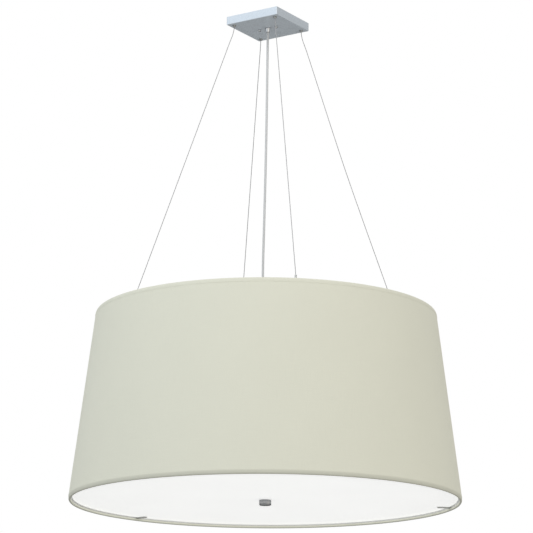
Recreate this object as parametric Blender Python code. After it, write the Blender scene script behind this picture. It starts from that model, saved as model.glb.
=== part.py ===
"""Drum chandelier: a tapered fabric drum shade that four thin wires hold under a square canopy.

Metres, +Z up. The origin is the middle of the ceiling plane and everything hangs below it. The canopy's
sides run along X and Y, and the wires leave it near its corners. Heights named "..._rise" are measured up
from the shade's bottom edge. The outlines of turned pieces are half sections of (radius, height) pairs.
"""

from math import atan2, cos, hypot, pi, radians, sin, tau

import bmesh
import bpy
from mathutils import Matrix, Vector

# Clearances and counts that all pieces share
seat_gap = 0.0003
cutter_overrun = 0.002
merge_distance = 0.000001
shade_segments = 72
round_segments = 24
lamp_segments = 16
small_round_segments = 12
edge_round_segments = 2
smooth_below_angle = radians(40)

# Canopy, an open tray against the ceiling
canopy_side = 0.127
canopy_depth = 0.0175
canopy_wall = 0.0012
canopy_corner_radius = 0.0010
wire_hole_inset = 0.0120

# Ceiling bar behind the canopy, the two canopy screws and the ground screw
bar_width = 0.022
bar_thickness = 0.002
bar_end_clearance = 0.0083
bar_corner_radius = 0.002
bar_slot_width = 0.006
bar_slot_length = 0.017
bar_slot_end_margin = 0.006
bar_cord_hole_radius = 0.0063
canopy_screw_offset = 0.021
canopy_screw_radius = 0.002
canopy_screw_head_radius = 0.0033
canopy_screw_head_height = 0.0042
ground_screw_offset = 0.0125
ground_screw_radius = 0.0015
ground_screw_head_radius = 0.003
ground_screw_head_height = 0.002

# Power cord, its grip under the canopy and the grip's lock nut
cord_radius = 0.0025
cord_grip_flange_radius = 0.0055
cord_grip_flange_height = 0.0015
cord_grip_tip_radius = 0.0036
cord_grip_height = 0.0095
cord_grip_thread_radius = 0.0047
cord_grip_thread_rise = 0.006
cord_nut_across_flats = 0.013
cord_nut_height = 0.003

# Suspension wires, their grippers with lock nuts, and the grippers' release plungers
wire_radius = 0.00075
wire_tail_below_ceiling = 0.004
wire_guide_length = 0.003
wire_bend_length = 0.014
gripper_flange_radius = 0.0041
gripper_flange_height = 0.0010
gripper_thread_radius = 0.003
gripper_thread_rise = 0.0115
gripper_bore_depth = 0.006
gripper_nut_across_flats = 0.010
gripper_nut_height = 0.0025
plunger_radius = 0.00225
plunger_inner_length = 0.003
plunger_travel = 0.002
plunger_mouth_radius = 0.0018
plunger_mouth_depth = 0.0012

# Shade: fabric skin, lining, and a wire ring inside each hem
canopy_to_shade_bottom = 1.019
shade_bottom_radius = 0.400
shade_top_radius = 0.352
shade_height = 0.389
fabric_thickness = 0.0006
liner_thickness = 0.0008
ring_wire_radius = 0.002
ring_wire_sides = 6
hem_return = 0.0017
hem_arc_steps = 4

# Spider across the top ring, and the wire anchors that stand on its arms
spider_arm_width = 0.014
spider_arm_thickness = 0.003
spider_arm_inner_radius = 0.010
spider_arm_corner_radius = 0.001
hub_plate_radius = 0.035
hub_plate_thickness = 0.003
anchor_inset = 0.0750
anchor_flange_radius = 0.006
anchor_flange_height = 0.002
anchor_barrel_radius = 0.0024
anchor_height = 0.0197
anchor_tip_chamfer = 0.0005
anchor_bore_depth = 0.012
anchor_mouth_radius = 0.0015
anchor_mouth_depth = 0.0010
anchor_stud_radius = 0.0025
anchor_stud_length = 0.004

# Stem, its cap, its nuts and the coupling to the lower stem
stem_radius = 0.005
stem_bore_radius = 0.0032
stem_above_arms = 0.0162
stem_cap_radius = 0.008
stem_cap_tip_radius = 0.0045
stem_cap_height = 0.0145
stem_cap_overlap = 0.0065
stem_nut_across_flats = 0.014
stem_nut_height = 0.005
stem_window_width = 0.004
stem_window_height = 0.012
coupling_radius = 0.008
coupling_length = 0.026
lower_stem_radius = 0.0032

# Lamp cluster, lampholders and lamps
lamp_count = 4
lamp_rise = 0.215
cluster_radius = 0.030
cluster_height = 0.034
cluster_wall = 0.0015
cluster_top_thickness = 0.002
cover_thickness = 0.0015
cover_lip_height = 0.003
cover_lip_width = 0.001
holder_nipple_radius = 0.0048
holder_nipple_reach = 0.0015
holder_back_thickness = 0.0035
holder_shoulder = 0.004
holder_radius = 0.0185
holder_bore_radius = 0.0143
holder_length = 0.036
lamp_length = 0.110
lamp_radius = 0.030
lamp_base_radius = 0.0132
lamp_base_length = 0.0265
lamp_tip_radius = 0.0045
lamp_tip_length = 0.0035

# The lamp's bulb beyond its base, as shares of (lamp radius, length from the base's end to the crown)
bulb_outline_shares = (
    (0.44, 0.01), (0.45, 0.07), (0.60, 0.23), (0.82, 0.40), (0.98, 0.57),
    (1.0, 0.70), (0.90, 0.86), (0.62, 0.965), (0.25, 0.997), (0.0, 1.0),
)

# Diffuser, the tongues that carry it, and the finial
diffuser_thickness = 0.003
diffuser_edge_inset = 0.009
diffuser_hole_clearance = 0.0013
tongue_thickness = 0.0015
tongue_width = 0.012
tongue_grip = 0.024
tongue_corner_radius = 0.004
tongue_azimuths = [radians(angle) for angle in (47, 167, 287)]
finial_radius = 0.0125
finial_height = 0.0118
finial_chamfer = 0.0008
finial_edge_radius = 0.0028
finial_edge_steps = 4
finial_bore_depth = 0.008

# The power cord's middle line, as (sideways, height) pairs in the upright plane at cord_azimuth. It is a
# little longer than its way, so it bows to one side above the stem. Its last three points lie in the stem.
cord_azimuth = radians(33)
cord_point_spacing = 0.0125
cord_route = (
    (0.0, -0.0004),
    (0.0, -0.0120),
    (0.0, -0.0285),
    (0.0, -0.0400),
    (-0.0006, -0.1200),
    (-0.0016, -0.2300),
    (-0.0034, -0.3500),
    (-0.0056, -0.4600),
    (-0.0073, -0.5400),
    (-0.0070, -0.5750),
    (-0.0038, -0.6020),
    (-0.0008, -0.6180),
    (0.0, -0.6270),
    (0.0, -0.6450),
    (0.0, -0.7300),
    (0.0, -0.8150),
)

# How far each wire's middle hangs in from its straight line, as a share of its length
wire_sag_shares = (0.0056, 0.0, 0.0, 0.0)

# Places that follow from the sizes
canopy_underside = -canopy_depth
canopy_floor = canopy_underside + canopy_wall
fitting_top = canopy_underside - seat_gap
wire_hole_offset = canopy_side / 2 - wire_hole_inset
wire_circle_radius = hypot(wire_hole_offset, wire_hole_offset)
wire_azimuths = [radians(45 + 90 * quarter) for quarter in range(4)]
gripper_bottom = fitting_top - gripper_flange_height
plunger_mouth = gripper_bottom - plunger_travel - seat_gap
wire_bore_radius = wire_radius + seat_gap
cord_bore_radius = cord_radius + seat_gap
shade_bottom = canopy_underside - canopy_to_shade_bottom
shade_tilt = atan2(shade_bottom_radius - shade_top_radius, shade_height)
hem_inner_radius = ring_wire_radius + seat_gap
hem_radius = hem_inner_radius + fabric_thickness
flat_share = cos(pi / shade_segments)


def shade_radius_at(rise):
    """The radius of the shade's outer face at a height above its bottom edge."""
    return shade_bottom_radius - (shade_bottom_radius - shade_top_radius) * rise / shade_height


def hem_centre(rise):
    """The middle of a hem's wire as (radius, rise), where the rolled hem is tangent to the outer face."""
    return shade_radius_at(rise) - hem_radius / cos(shade_tilt), rise


bottom_hem = hem_centre(hem_radius)
top_hem = hem_centre(shade_height - hem_radius)
liner_outer_inset = (fabric_thickness + seat_gap) / cos(shade_tilt)
liner_inner_inset = liner_outer_inset + liner_thickness / cos(shade_tilt)
liner_bottom_rise = bottom_hem[1] + ring_wire_radius + seat_gap
arm_top_rise = top_hem[1] - ring_wire_radius - seat_gap


def reach_inside_liner(rise):
    """How far out a piece can reach at a height, with its gap to the flat faces of the lining."""
    return (shade_radius_at(rise) - liner_inner_inset) * flat_share - seat_gap


anchor_circle_radius = shade_top_radius - anchor_inset
anchor_bottom_rise = arm_top_rise + seat_gap
anchor_top_rise = anchor_bottom_rise + anchor_height
hub_plate_rise = arm_top_rise + seat_gap
stem_top_rise = arm_top_rise + stem_above_arms
cluster_top_rise = lamp_rise + cluster_height / 2
cluster_bottom_rise = lamp_rise - cluster_height / 2
cover_rise = cluster_bottom_rise - seat_gap - cover_thickness
coupling_top_rise = cover_rise - seat_gap
coupling_bottom_rise = coupling_top_rise - coupling_length
coupling_middle_rise = coupling_top_rise - coupling_length / 2
stem_hole_radius = stem_radius + seat_gap
tongue_top_rise = liner_bottom_rise + tongue_thickness
diffuser_rise = tongue_top_rise + seat_gap
diffuser_radius = shade_bottom_radius - diffuser_edge_inset
finial_top_rise = diffuser_rise - seat_gap


def clear_scene():
    for thing in list(bpy.data.objects):
        bpy.data.objects.remove(thing, do_unlink=True)


def make_finish(name, colour, roughness, metallic=0.0):
    """A material with the piece's colour as it looks in daylight."""
    made = bpy.data.materials.new(name)
    made.use_nodes = True
    shader = made.node_tree.nodes["Principled BSDF"]
    shader.inputs["Base Color"].default_value = (*colour, 1.0)
    shader.inputs["Roughness"].default_value = roughness
    shader.inputs["Metallic"].default_value = metallic
    made.diffuse_color = (*colour, 1.0)
    return made


def make_finishes():
    return {
        "silver_paint": make_finish("silver_paint", (0.62, 0.65, 0.68), 0.30, 0.6),
        "chrome": make_finish("chrome", (0.80, 0.80, 0.82), 0.08, 1.0),
        "zinc_plate": make_finish("zinc_plate", (0.62, 0.62, 0.60), 0.40, 1.0),
        "ground_green": make_finish("ground_green", (0.10, 0.42, 0.16), 0.45, 0.3),
        "wire_steel": make_finish("wire_steel", (0.60, 0.60, 0.60), 0.35, 1.0),
        "cord_jacket": make_finish("cord_jacket", (0.48, 0.48, 0.47), 0.45),
        "linen": make_finish("linen", (0.68, 0.67, 0.58), 0.90),
        "lining": make_finish("lining", (0.86, 0.86, 0.84), 0.55),
        "frame_white": make_finish("frame_white", (0.80, 0.80, 0.79), 0.40, 0.2),
        "opal_acrylic": make_finish("opal_acrylic", (0.93, 0.93, 0.92), 0.25),
        "holder_white": make_finish("holder_white", (0.85, 0.84, 0.80), 0.35),
        "lamp_opal": make_finish("lamp_opal", (0.92, 0.91, 0.88), 0.30),
    }


def make_set(name, location=(0, 0, 0)):
    """An empty that a set of pieces hangs on."""
    empty = bpy.data.objects.new(name, None)
    empty.location = location
    bpy.context.collection.objects.link(empty)
    return empty


def place(name, data, parent, location=(0, 0, 0), turn=None):
    """An object that shows a mesh or a curve, turned and then moved inside its set."""
    piece = bpy.data.objects.new(name, data)
    piece.parent = parent
    piece.matrix_local = Matrix.Translation(location) @ (turn or Matrix.Identity(4))
    bpy.context.collection.objects.link(piece)
    return piece


def mesh_data(name, mesh, material=None):
    """Closes a bmesh into mesh data, with its faces outwards and its round faces smooth."""
    bmesh.ops.remove_doubles(mesh, verts=mesh.verts, dist=merge_distance)
    bmesh.ops.recalc_face_normals(mesh, faces=mesh.faces)
    data = bpy.data.meshes.new(name)
    mesh.to_mesh(data)
    mesh.free()
    if material:
        data.materials.append(material)
    data.shade_smooth()
    data.set_sharp_from_angle(angle=smooth_below_angle)
    return data


def turned(outline, segments):
    """A bmesh turned about Z from a half section, which either starts and ends on the axis or goes round."""
    mesh = bmesh.new()
    corners = [mesh.verts.new((radius, 0, height)) for radius, height in outline]
    pairs = list(zip(corners, corners[1:]))
    if outline[0][0] > 0:
        pairs.append((corners[-1], corners[0]))
    edges = [mesh.edges.new(pair) for pair in pairs]
    bmesh.ops.spin(
        mesh, geom=corners + edges, cent=(0, 0, 0), axis=(0, 0, 1), angle=tau, steps=segments, use_merge=True
    )
    return mesh


def block(low, high):
    """A bmesh box between two corners."""
    mesh = bmesh.new()
    size = Vector(high) - Vector(low)
    middle = (Vector(high) + Vector(low)) / 2
    bmesh.ops.create_cube(mesh, size=1, matrix=Matrix.Translation(middle) @ Matrix.Diagonal((*size, 1)))
    return mesh


def round_upright_edges(mesh, radius, segments=edge_round_segments):
    """Rounds the edges of a box that run along Z."""
    upright = [edge for edge in mesh.edges if edge.verts[0].co.xy == edge.verts[1].co.xy]
    bmesh.ops.bevel(
        mesh, geom=upright, offset=radius, offset_type="OFFSET", segments=segments, profile=0.5,
        affect="EDGES", material=-1,
    )
    return mesh


def nut(across_flats, height, bore_radius):
    """A bmesh hexagon nut from Z = 0 up, with a round bore."""
    mesh = bmesh.new()
    corner_radius = across_flats / 2 / cos(pi / 6)
    outer = []
    inner = []
    for step in range(small_round_segments):
        angle = tau * step / small_round_segments
        direction = Vector((cos(angle), sin(angle), 0))
        outer.append(mesh.verts.new(direction * (across_flats / 2 if step % 2 else corner_radius)))
        inner.append(mesh.verts.new(direction * bore_radius))
    loops = [mesh.edges.new(pair) for ring in (outer, inner) for pair in zip(ring, ring[1:] + ring[:1])]
    bmesh.ops.bridge_loops(mesh, edges=loops)
    raised = bmesh.ops.extrude_face_region(mesh, geom=mesh.faces[:])["geom"]
    corners = [item for item in raised if isinstance(item, bmesh.types.BMVert)]
    bmesh.ops.translate(mesh, verts=corners, vec=(0, 0, height))
    return mesh


def cut_away(piece, cutter_mesh, title):
    """Takes a shape out of a piece, in the piece's own frame. The cutter stays as a hidden wire helper."""
    data = bpy.data.meshes.new(f"{piece.name}_{title}")
    bmesh.ops.recalc_face_normals(cutter_mesh, faces=cutter_mesh.faces)
    cutter_mesh.to_mesh(data)
    cutter_mesh.free()
    cutter = place(data.name, data, piece)
    cutter.hide_render = True
    cutter.display_type = "WIRE"
    modifier = piece.modifiers.new(title, "BOOLEAN")
    modifier.operation = "DIFFERENCE"
    modifier.solver = "EXACT"
    modifier.object = cutter


def drills(places, low, high):
    """A bmesh of upright round cutters at (x, y, radius) places, which overrun both faces of a wall."""
    mesh = bmesh.new()
    for x, y, radius in places:
        bmesh.ops.create_cone(
            mesh, cap_ends=True, segments=small_round_segments, radius1=radius, radius2=radius,
            depth=high - low + 2 * cutter_overrun, matrix=Matrix.Translation((x, y, (low + high) / 2)),
        )
    return mesh


def smooth_curve(route, steps):
    """Points on a smooth curve through a route's own points, with a number of steps from each to the next."""
    route = [Vector(point) for point in route]
    route = [2 * route[0] - route[1], *route, 2 * route[-1] - route[-2]]
    points = []
    for before, start, end, after in zip(route, route[1:], route[2:], route[3:]):
        first, middle, last = (hop.length ** 0.5 for hop in (start - before, end - start, after - end))
        leave = end - start + middle * ((start - before) / first - (end - before) / (first + middle))
        arrive = end - start + middle * ((after - end) / last - (after - start) / (middle + last))
        for step in range(steps):
            s = step / steps
            points.append(
                (2 * s**3 - 3 * s**2 + 1) * start + (s**3 - 2 * s**2 + s) * leave
                + (3 * s**2 - 2 * s**3) * end + (s**3 - s**2) * arrive
            )
    return [*points, route[-2]]


def evenly(points, spacing):
    """Points at even distances along a run of close points."""
    travelled = [0.0]
    for start, end in zip(points, points[1:]):
        travelled.append(travelled[-1] + (end - start).length)
    count = round(travelled[-1] / spacing)
    even = [points[0]]
    at = 0
    for step in range(1, count):
        target = travelled[-1] * step / count
        while travelled[at + 1] < target:
            at += 1
        share = (target - travelled[at]) / (travelled[at + 1] - travelled[at])
        even.append(points[at].lerp(points[at + 1], share))
    return [*even, points[-1]]


def make_tube(name, points, radius, material, parent):
    """A round tube along points, as a curve with a bevel and filled caps."""
    data = bpy.data.curves.new(name, "CURVE")
    data.dimensions = "3D"
    data.bevel_depth = radius
    data.bevel_resolution = 2
    data.use_fill_caps = True
    spline = data.splines.new("POLY")
    spline.points.add(len(points) - 1)
    for corner, point in zip(spline.points, points):
        corner.co = (*point, 1)
    data.materials.append(material)
    return place(name, data, parent)


def make_canopy(finishes, ceiling_set):
    half = canopy_side / 2
    tray = block((-half, -half, canopy_underside), (half, half, 0))
    round_upright_edges(tray, canopy_corner_radius)
    canopy = place("canopy", mesh_data("canopy", tray, finishes["silver_paint"]), ceiling_set)
    inner = half - canopy_wall
    cut_away(canopy, block((-inner, -inner, canopy_floor), (inner, inner, cutter_overrun)), "hollow")
    sides = (-wire_hole_offset, wire_hole_offset)
    holes = [(x, y, gripper_thread_radius + seat_gap) for x in sides for y in sides]
    holes.append((0, 0, cord_grip_thread_radius + seat_gap))
    holes += [(x, 0, canopy_screw_radius + seat_gap) for x in (-canopy_screw_offset, canopy_screw_offset)]
    cut_away(canopy, drills(holes, canopy_underside, canopy_floor), "holes")


def make_ceiling_bar(finishes, ceiling_set):
    half_length = canopy_side / 2 - canopy_wall - bar_end_clearance
    strip = block((-half_length, -bar_width / 2, -bar_thickness), (half_length, bar_width / 2, 0))
    round_upright_edges(strip, bar_corner_radius)
    bar = place("ceiling_bar", mesh_data("ceiling_bar", strip, finishes["zinc_plate"]), ceiling_set)
    holes = [(x, 0, canopy_screw_radius + seat_gap) for x in (-canopy_screw_offset, canopy_screw_offset)]
    holes.append((0, 0, bar_cord_hole_radius))
    holes.append((-ground_screw_offset, 0, ground_screw_radius + seat_gap))
    cut_away(bar, drills(holes, -bar_thickness, 0), "holes")
    slot_far = half_length - bar_slot_end_margin
    slot_near = slot_far - bar_slot_length
    slot_low, slot_high = -bar_thickness - cutter_overrun, cutter_overrun
    for title, low, high in (("slot_1", slot_near, slot_far), ("slot_2", -slot_far, -slot_near)):
        slot = block((low, -bar_slot_width / 2, slot_low), (high, bar_slot_width / 2, slot_high))
        cut_away(bar, round_upright_edges(slot, bar_slot_width * 0.48, 3), title)


def make_ceiling_screws(finishes, ceiling_set):
    head_bottom = fitting_top - canopy_screw_head_height
    outline = (
        (0, head_bottom),
        (canopy_screw_head_radius * 0.65, head_bottom),
        (canopy_screw_head_radius, head_bottom + canopy_screw_head_height * 0.35),
        (canopy_screw_head_radius, fitting_top),
        (canopy_screw_radius, fitting_top),
        (canopy_screw_radius, -seat_gap),
        (0, -seat_gap),
    )
    screw = mesh_data("canopy_screw", turned(outline, small_round_segments), finishes["chrome"])
    for number, x in enumerate((canopy_screw_offset, -canopy_screw_offset), 1):
        place(f"canopy_screw_{number}", screw, ceiling_set, (x, 0, 0))
    ground_top = -bar_thickness - seat_gap
    outline = (
        (0, ground_top - ground_screw_head_height),
        (ground_screw_head_radius, ground_top - ground_screw_head_height),
        (ground_screw_head_radius, ground_top),
        (ground_screw_radius, ground_top),
        (ground_screw_radius, -seat_gap),
        (0, -seat_gap),
    )
    ground = mesh_data("ground_screw", turned(outline, small_round_segments), finishes["ground_green"])
    place("ground_screw", ground, ceiling_set, (-ground_screw_offset, 0, 0))


def make_cord_grip(finishes, ceiling_set):
    grip_bottom = fitting_top - cord_grip_height
    grip_top = canopy_floor + cord_grip_thread_rise
    outline = (
        (cord_bore_radius, grip_bottom),
        (cord_grip_tip_radius, grip_bottom),
        (cord_grip_flange_radius, fitting_top - cord_grip_flange_height),
        (cord_grip_flange_radius, fitting_top),
        (cord_grip_thread_radius, fitting_top),
        (cord_grip_thread_radius, grip_top),
        (cord_bore_radius, grip_top),
    )
    grip = mesh_data("cord_grip", turned(outline, small_round_segments), finishes["chrome"])
    place("cord_grip", grip, ceiling_set)
    lock = nut(cord_nut_across_flats, cord_nut_height, cord_grip_thread_radius + seat_gap)
    lock_data = mesh_data("cord_grip_nut", lock, finishes["zinc_plate"])
    place("cord_grip_nut", lock_data, ceiling_set, (0, 0, canopy_floor + seat_gap))


def make_grippers(finishes, ceiling_set):
    """A gripper, its lock nut and its release plunger at each corner, for the most part inside the canopy."""
    plunger_bore = plunger_radius + seat_gap
    bore_top = gripper_bottom + gripper_bore_depth
    thread_top = canopy_floor + gripper_thread_rise
    body_outline = (
        (plunger_bore, gripper_bottom),
        (gripper_flange_radius, gripper_bottom),
        (gripper_flange_radius, fitting_top),
        (gripper_thread_radius, fitting_top),
        (gripper_thread_radius, thread_top),
        (wire_bore_radius, thread_top),
        (wire_bore_radius, bore_top),
        (plunger_bore, bore_top),
    )
    plunger_top = gripper_bottom + plunger_inner_length
    plunger_outline = (
        (plunger_mouth_radius, plunger_mouth),
        (plunger_radius, plunger_mouth),
        (plunger_radius, plunger_top),
        (wire_bore_radius, plunger_top),
        (wire_bore_radius, plunger_mouth + plunger_mouth_depth),
    )
    body = mesh_data("wire_gripper", turned(body_outline, small_round_segments), finishes["zinc_plate"])
    plunger_mesh = turned(plunger_outline, small_round_segments)
    plunger = mesh_data("gripper_plunger", plunger_mesh, finishes["zinc_plate"])
    lock = nut(gripper_nut_across_flats, gripper_nut_height, gripper_thread_radius + seat_gap)
    lock_data = mesh_data("gripper_nut", lock, finishes["zinc_plate"])
    for number, azimuth in enumerate(wire_azimuths, 1):
        x = wire_circle_radius * cos(azimuth)
        y = wire_circle_radius * sin(azimuth)
        place(f"wire_gripper_{number}", body, ceiling_set, (x, y, 0))
        place(f"gripper_plunger_{number}", plunger, ceiling_set, (x, y, 0))
        place(f"gripper_nut_{number}", lock_data, ceiling_set, (x, y, canopy_floor + seat_gap))


def wire_route(azimuth, sag_share):
    """A wire's own points: down through its gripper, slanting out, and down into its anchor."""
    outwards = Vector((cos(azimuth), sin(azimuth), 0))
    down = Vector((0, 0, -1))
    anchor_top = shade_bottom + anchor_top_rise
    mouth = outwards * wire_circle_radius - down * plunger_mouth
    socket = outwards * anchor_circle_radius - down * anchor_top
    leave = mouth + down * wire_bend_length / 2
    arrive = socket - down * wire_bend_length / 2
    slant = (arrive - leave).normalized()
    sideways = slant.cross(down.cross(outwards)).normalized()
    middle = (leave + arrive) / 2 + sideways * sag_share * (arrive - leave).length
    return [
        outwards * wire_circle_radius + down * wire_tail_below_ceiling,
        mouth - down * wire_guide_length,
        mouth,
        leave + slant * wire_bend_length / 2,
        leave + slant * wire_bend_length * 3,
        middle,
        arrive - slant * wire_bend_length * 3,
        arrive - slant * wire_bend_length / 2,
        socket,
        socket + down * wire_guide_length,
        socket + down * (anchor_bore_depth - seat_gap),
    ]


def make_wires_and_cord(finishes, ceiling_set):
    for number, (azimuth, sag_share) in enumerate(zip(wire_azimuths, wire_sag_shares), 1):
        points = smooth_curve(wire_route(azimuth, sag_share), 2)
        make_tube(f"suspension_wire_{number}", points, wire_radius, finishes["wire_steel"], ceiling_set)
    route = [(side * cos(cord_azimuth), side * sin(cord_azimuth), height) for side, height in cord_route]
    points = evenly(smooth_curve(route, 16), cord_point_spacing)
    make_tube("power_cord", points, cord_radius, finishes["cord_jacket"], ceiling_set)


def arc(centre, radius, start, end, steps):
    """Points of an outline's arc, from one angle to another."""
    for step in range(steps + 1):
        angle = start + (end - start) * step / steps
        yield centre[0] + radius * cos(angle), centre[1] + radius * sin(angle)


def fabric_face(radius):
    """One face of the fabric as (radius, rise) pairs: up the inside of the bottom hem, round it, up the
    outside, and round and down the top hem."""
    return [
        (bottom_hem[0] - radius, bottom_hem[1] + hem_return),
        *arc(bottom_hem, radius, -pi, shade_tilt, hem_arc_steps),
        *arc(top_hem, radius, shade_tilt, pi, hem_arc_steps),
        (top_hem[0] - radius, top_hem[1] - hem_return),
    ]


def make_shade(finishes, shade_set):
    outline = fabric_face(hem_radius) + fabric_face(hem_inner_radius)[::-1]
    fabric = mesh_data("shade_fabric", turned(outline, shade_segments), finishes["linen"])
    place("shade_fabric", fabric, shade_set)
    outline = (
        (shade_radius_at(liner_bottom_rise) - liner_inner_inset, liner_bottom_rise),
        (shade_radius_at(liner_bottom_rise) - liner_outer_inset, liner_bottom_rise),
        (shade_radius_at(arm_top_rise) - liner_outer_inset, arm_top_rise),
        (shade_radius_at(arm_top_rise) - liner_inner_inset, arm_top_rise),
    )
    liner = mesh_data("shade_liner", turned(outline, shade_segments), finishes["lining"])
    place("shade_liner", liner, shade_set)
    for name, (radius, rise) in (("bottom_ring", bottom_hem), ("top_ring", top_hem)):
        angles = [tau * (side + 0.5) / ring_wire_sides for side in range(ring_wire_sides)]
        outline = [(radius + ring_wire_radius * cos(a), rise + ring_wire_radius * sin(a)) for a in angles]
        place(name, mesh_data(name, turned(outline, shade_segments), finishes["frame_white"]), shade_set)


def make_spider(finishes, shade_set):
    """The four arms under the top ring, the hub plate over their inner ends and the wire anchors on them."""
    arm_low = (spider_arm_inner_radius, -spider_arm_width / 2, arm_top_rise - spider_arm_thickness)
    arm_high = (reach_inside_liner(arm_top_rise), spider_arm_width / 2, arm_top_rise)
    bar = round_upright_edges(block(arm_low, arm_high), spider_arm_corner_radius)
    arm = mesh_data("spider_arm", bar, finishes["frame_white"])
    flange_top = anchor_bottom_rise + anchor_flange_height
    outline = (
        (0, anchor_bottom_rise - anchor_stud_length),
        (anchor_stud_radius, anchor_bottom_rise - anchor_stud_length),
        (anchor_stud_radius, anchor_bottom_rise),
        (anchor_flange_radius, anchor_bottom_rise),
        (anchor_flange_radius, flange_top),
        (anchor_barrel_radius, flange_top),
        (anchor_barrel_radius, anchor_top_rise - anchor_tip_chamfer),
        (anchor_barrel_radius - anchor_tip_chamfer, anchor_top_rise),
        (anchor_mouth_radius, anchor_top_rise),
        (wire_bore_radius, anchor_top_rise - anchor_mouth_depth),
        (wire_bore_radius, anchor_top_rise - anchor_bore_depth),
        (0, anchor_top_rise - anchor_bore_depth),
    )
    anchor = mesh_data("wire_anchor", turned(outline, small_round_segments), finishes["zinc_plate"])
    stud_hole = (anchor_circle_radius, 0, anchor_stud_radius + seat_gap)
    for number, azimuth in enumerate(wire_azimuths, 1):
        turn = Matrix.Rotation(azimuth, 4, "Z")
        piece = place(f"spider_arm_{number}", arm, shade_set, turn=turn)
        cut_away(piece, drills([stud_hole], arm_low[2], arm_high[2]), "stud_hole")
        place(f"wire_anchor_{number}", anchor, shade_set, turn @ Vector((anchor_circle_radius, 0, 0)))
    plate_top = hub_plate_rise + hub_plate_thickness
    outline = (
        (stem_hole_radius, hub_plate_rise),
        (hub_plate_radius, hub_plate_rise),
        (hub_plate_radius, plate_top),
        (stem_hole_radius, plate_top),
    )
    plate = mesh_data("hub_plate", turned(outline, round_segments), finishes["frame_white"])
    place("hub_plate", plate, shade_set)


def make_stem(finishes, shade_set):
    """The hollow stem with its cap, its nuts, and the coupling and lower stem under the lamp cluster."""
    stem_end = coupling_middle_rise + seat_gap
    outline = (
        (stem_bore_radius, stem_end),
        (stem_radius, stem_end),
        (stem_radius, stem_top_rise),
        (stem_bore_radius, stem_top_rise),
    )
    tube = mesh_data("stem", turned(outline, small_round_segments), finishes["frame_white"])
    stem = place("stem", tube, shade_set)
    window_low = (0, -stem_window_width / 2, lamp_rise - stem_window_height / 2)
    window_high = (stem_radius + cutter_overrun, stem_window_width / 2, lamp_rise + stem_window_height / 2)
    cut_away(stem, block(window_low, window_high), "window")

    cap_bottom = stem_top_rise - stem_cap_overlap
    cap_top = cap_bottom + stem_cap_height
    outline = (
        (stem_hole_radius, cap_bottom),
        (stem_cap_radius, cap_bottom),
        (stem_cap_radius, cap_bottom + stem_cap_height * 0.55),
        (stem_cap_tip_radius, cap_top),
        (cord_bore_radius, cap_top),
        (cord_bore_radius, stem_top_rise + seat_gap),
        (stem_hole_radius, stem_top_rise + seat_gap),
    )
    cap = mesh_data("stem_cap", turned(outline, small_round_segments), finishes["chrome"])
    place("stem_cap", cap, shade_set)

    lock_mesh = nut(stem_nut_across_flats, stem_nut_height, stem_hole_radius)
    lock = mesh_data("stem_nut", lock_mesh, finishes["zinc_plate"])
    place("stem_nut_top", lock, shade_set, (0, 0, hub_plate_rise + hub_plate_thickness + seat_gap))
    place("stem_nut_middle", lock, shade_set, (0, 0, hub_plate_rise - seat_gap - stem_nut_height))
    place("stem_nut_bottom", lock, shade_set, (0, 0, cluster_top_rise + seat_gap))

    lower_bore = lower_stem_radius + seat_gap
    outline = (
        (lower_bore, coupling_bottom_rise),
        (coupling_radius, coupling_bottom_rise),
        (coupling_radius, coupling_top_rise),
        (stem_hole_radius, coupling_top_rise),
        (stem_hole_radius, coupling_middle_rise),
        (lower_bore, coupling_middle_rise),
    )
    coupling = mesh_data("stem_coupling", turned(outline, small_round_segments), finishes["chrome"])
    place("stem_coupling", coupling, shade_set)
    lower_end = finial_top_rise - finial_bore_depth + seat_gap
    lower_top = coupling_middle_rise - seat_gap
    outline = (
        (0, lower_end),
        (lower_stem_radius, lower_end),
        (lower_stem_radius, lower_top),
        (0, lower_top),
    )
    lower = mesh_data("lower_stem", turned(outline, small_round_segments), finishes["zinc_plate"])
    place("lower_stem", lower, shade_set)


def make_cluster(finishes, shade_set):
    """The cup that the lampholders screw into, and its cover."""
    inner = cluster_radius - cluster_wall
    ceiling = cluster_top_rise - cluster_top_thickness
    outline = (
        (stem_hole_radius, ceiling),
        (inner, ceiling),
        (inner, cluster_bottom_rise),
        (cluster_radius, cluster_bottom_rise),
        (cluster_radius, cluster_top_rise),
        (stem_hole_radius, cluster_top_rise),
    )
    cup = mesh_data("cluster_body", turned(outline, round_segments), finishes["frame_white"])
    body = place("cluster_body", cup, shade_set)
    for number, turn in enumerate(lamp_turns(), 1):
        hole = drills([(0, 0, holder_nipple_radius + seat_gap)], inner, cluster_radius)
        bmesh.ops.transform(hole, matrix=Matrix.Translation((0, 0, lamp_rise)) @ turn, verts=hole.verts)
        cut_away(body, hole, f"lampholder_hole_{number}")

    lip_outer = inner - seat_gap
    lip_inner = lip_outer - cover_lip_width
    plate_top = cover_rise + cover_thickness
    outline = (
        (stem_hole_radius, cover_rise),
        (cluster_radius, cover_rise),
        (cluster_radius, plate_top),
        (lip_outer, plate_top),
        (lip_outer, plate_top + cover_lip_height),
        (lip_inner, plate_top + cover_lip_height),
        (lip_inner, plate_top),
        (stem_hole_radius, plate_top),
    )
    cover = mesh_data("cluster_cover", turned(outline, round_segments), finishes["frame_white"])
    place("cluster_cover", cover, shade_set)


def lamp_turns():
    """For each lamp, the turn that lays an upright axis down along the lamp's own direction."""
    for number in range(lamp_count):
        yield Matrix.Rotation(tau * number / lamp_count, 4, "Z") @ Matrix.Rotation(pi / 2, 4, "Y")


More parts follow.
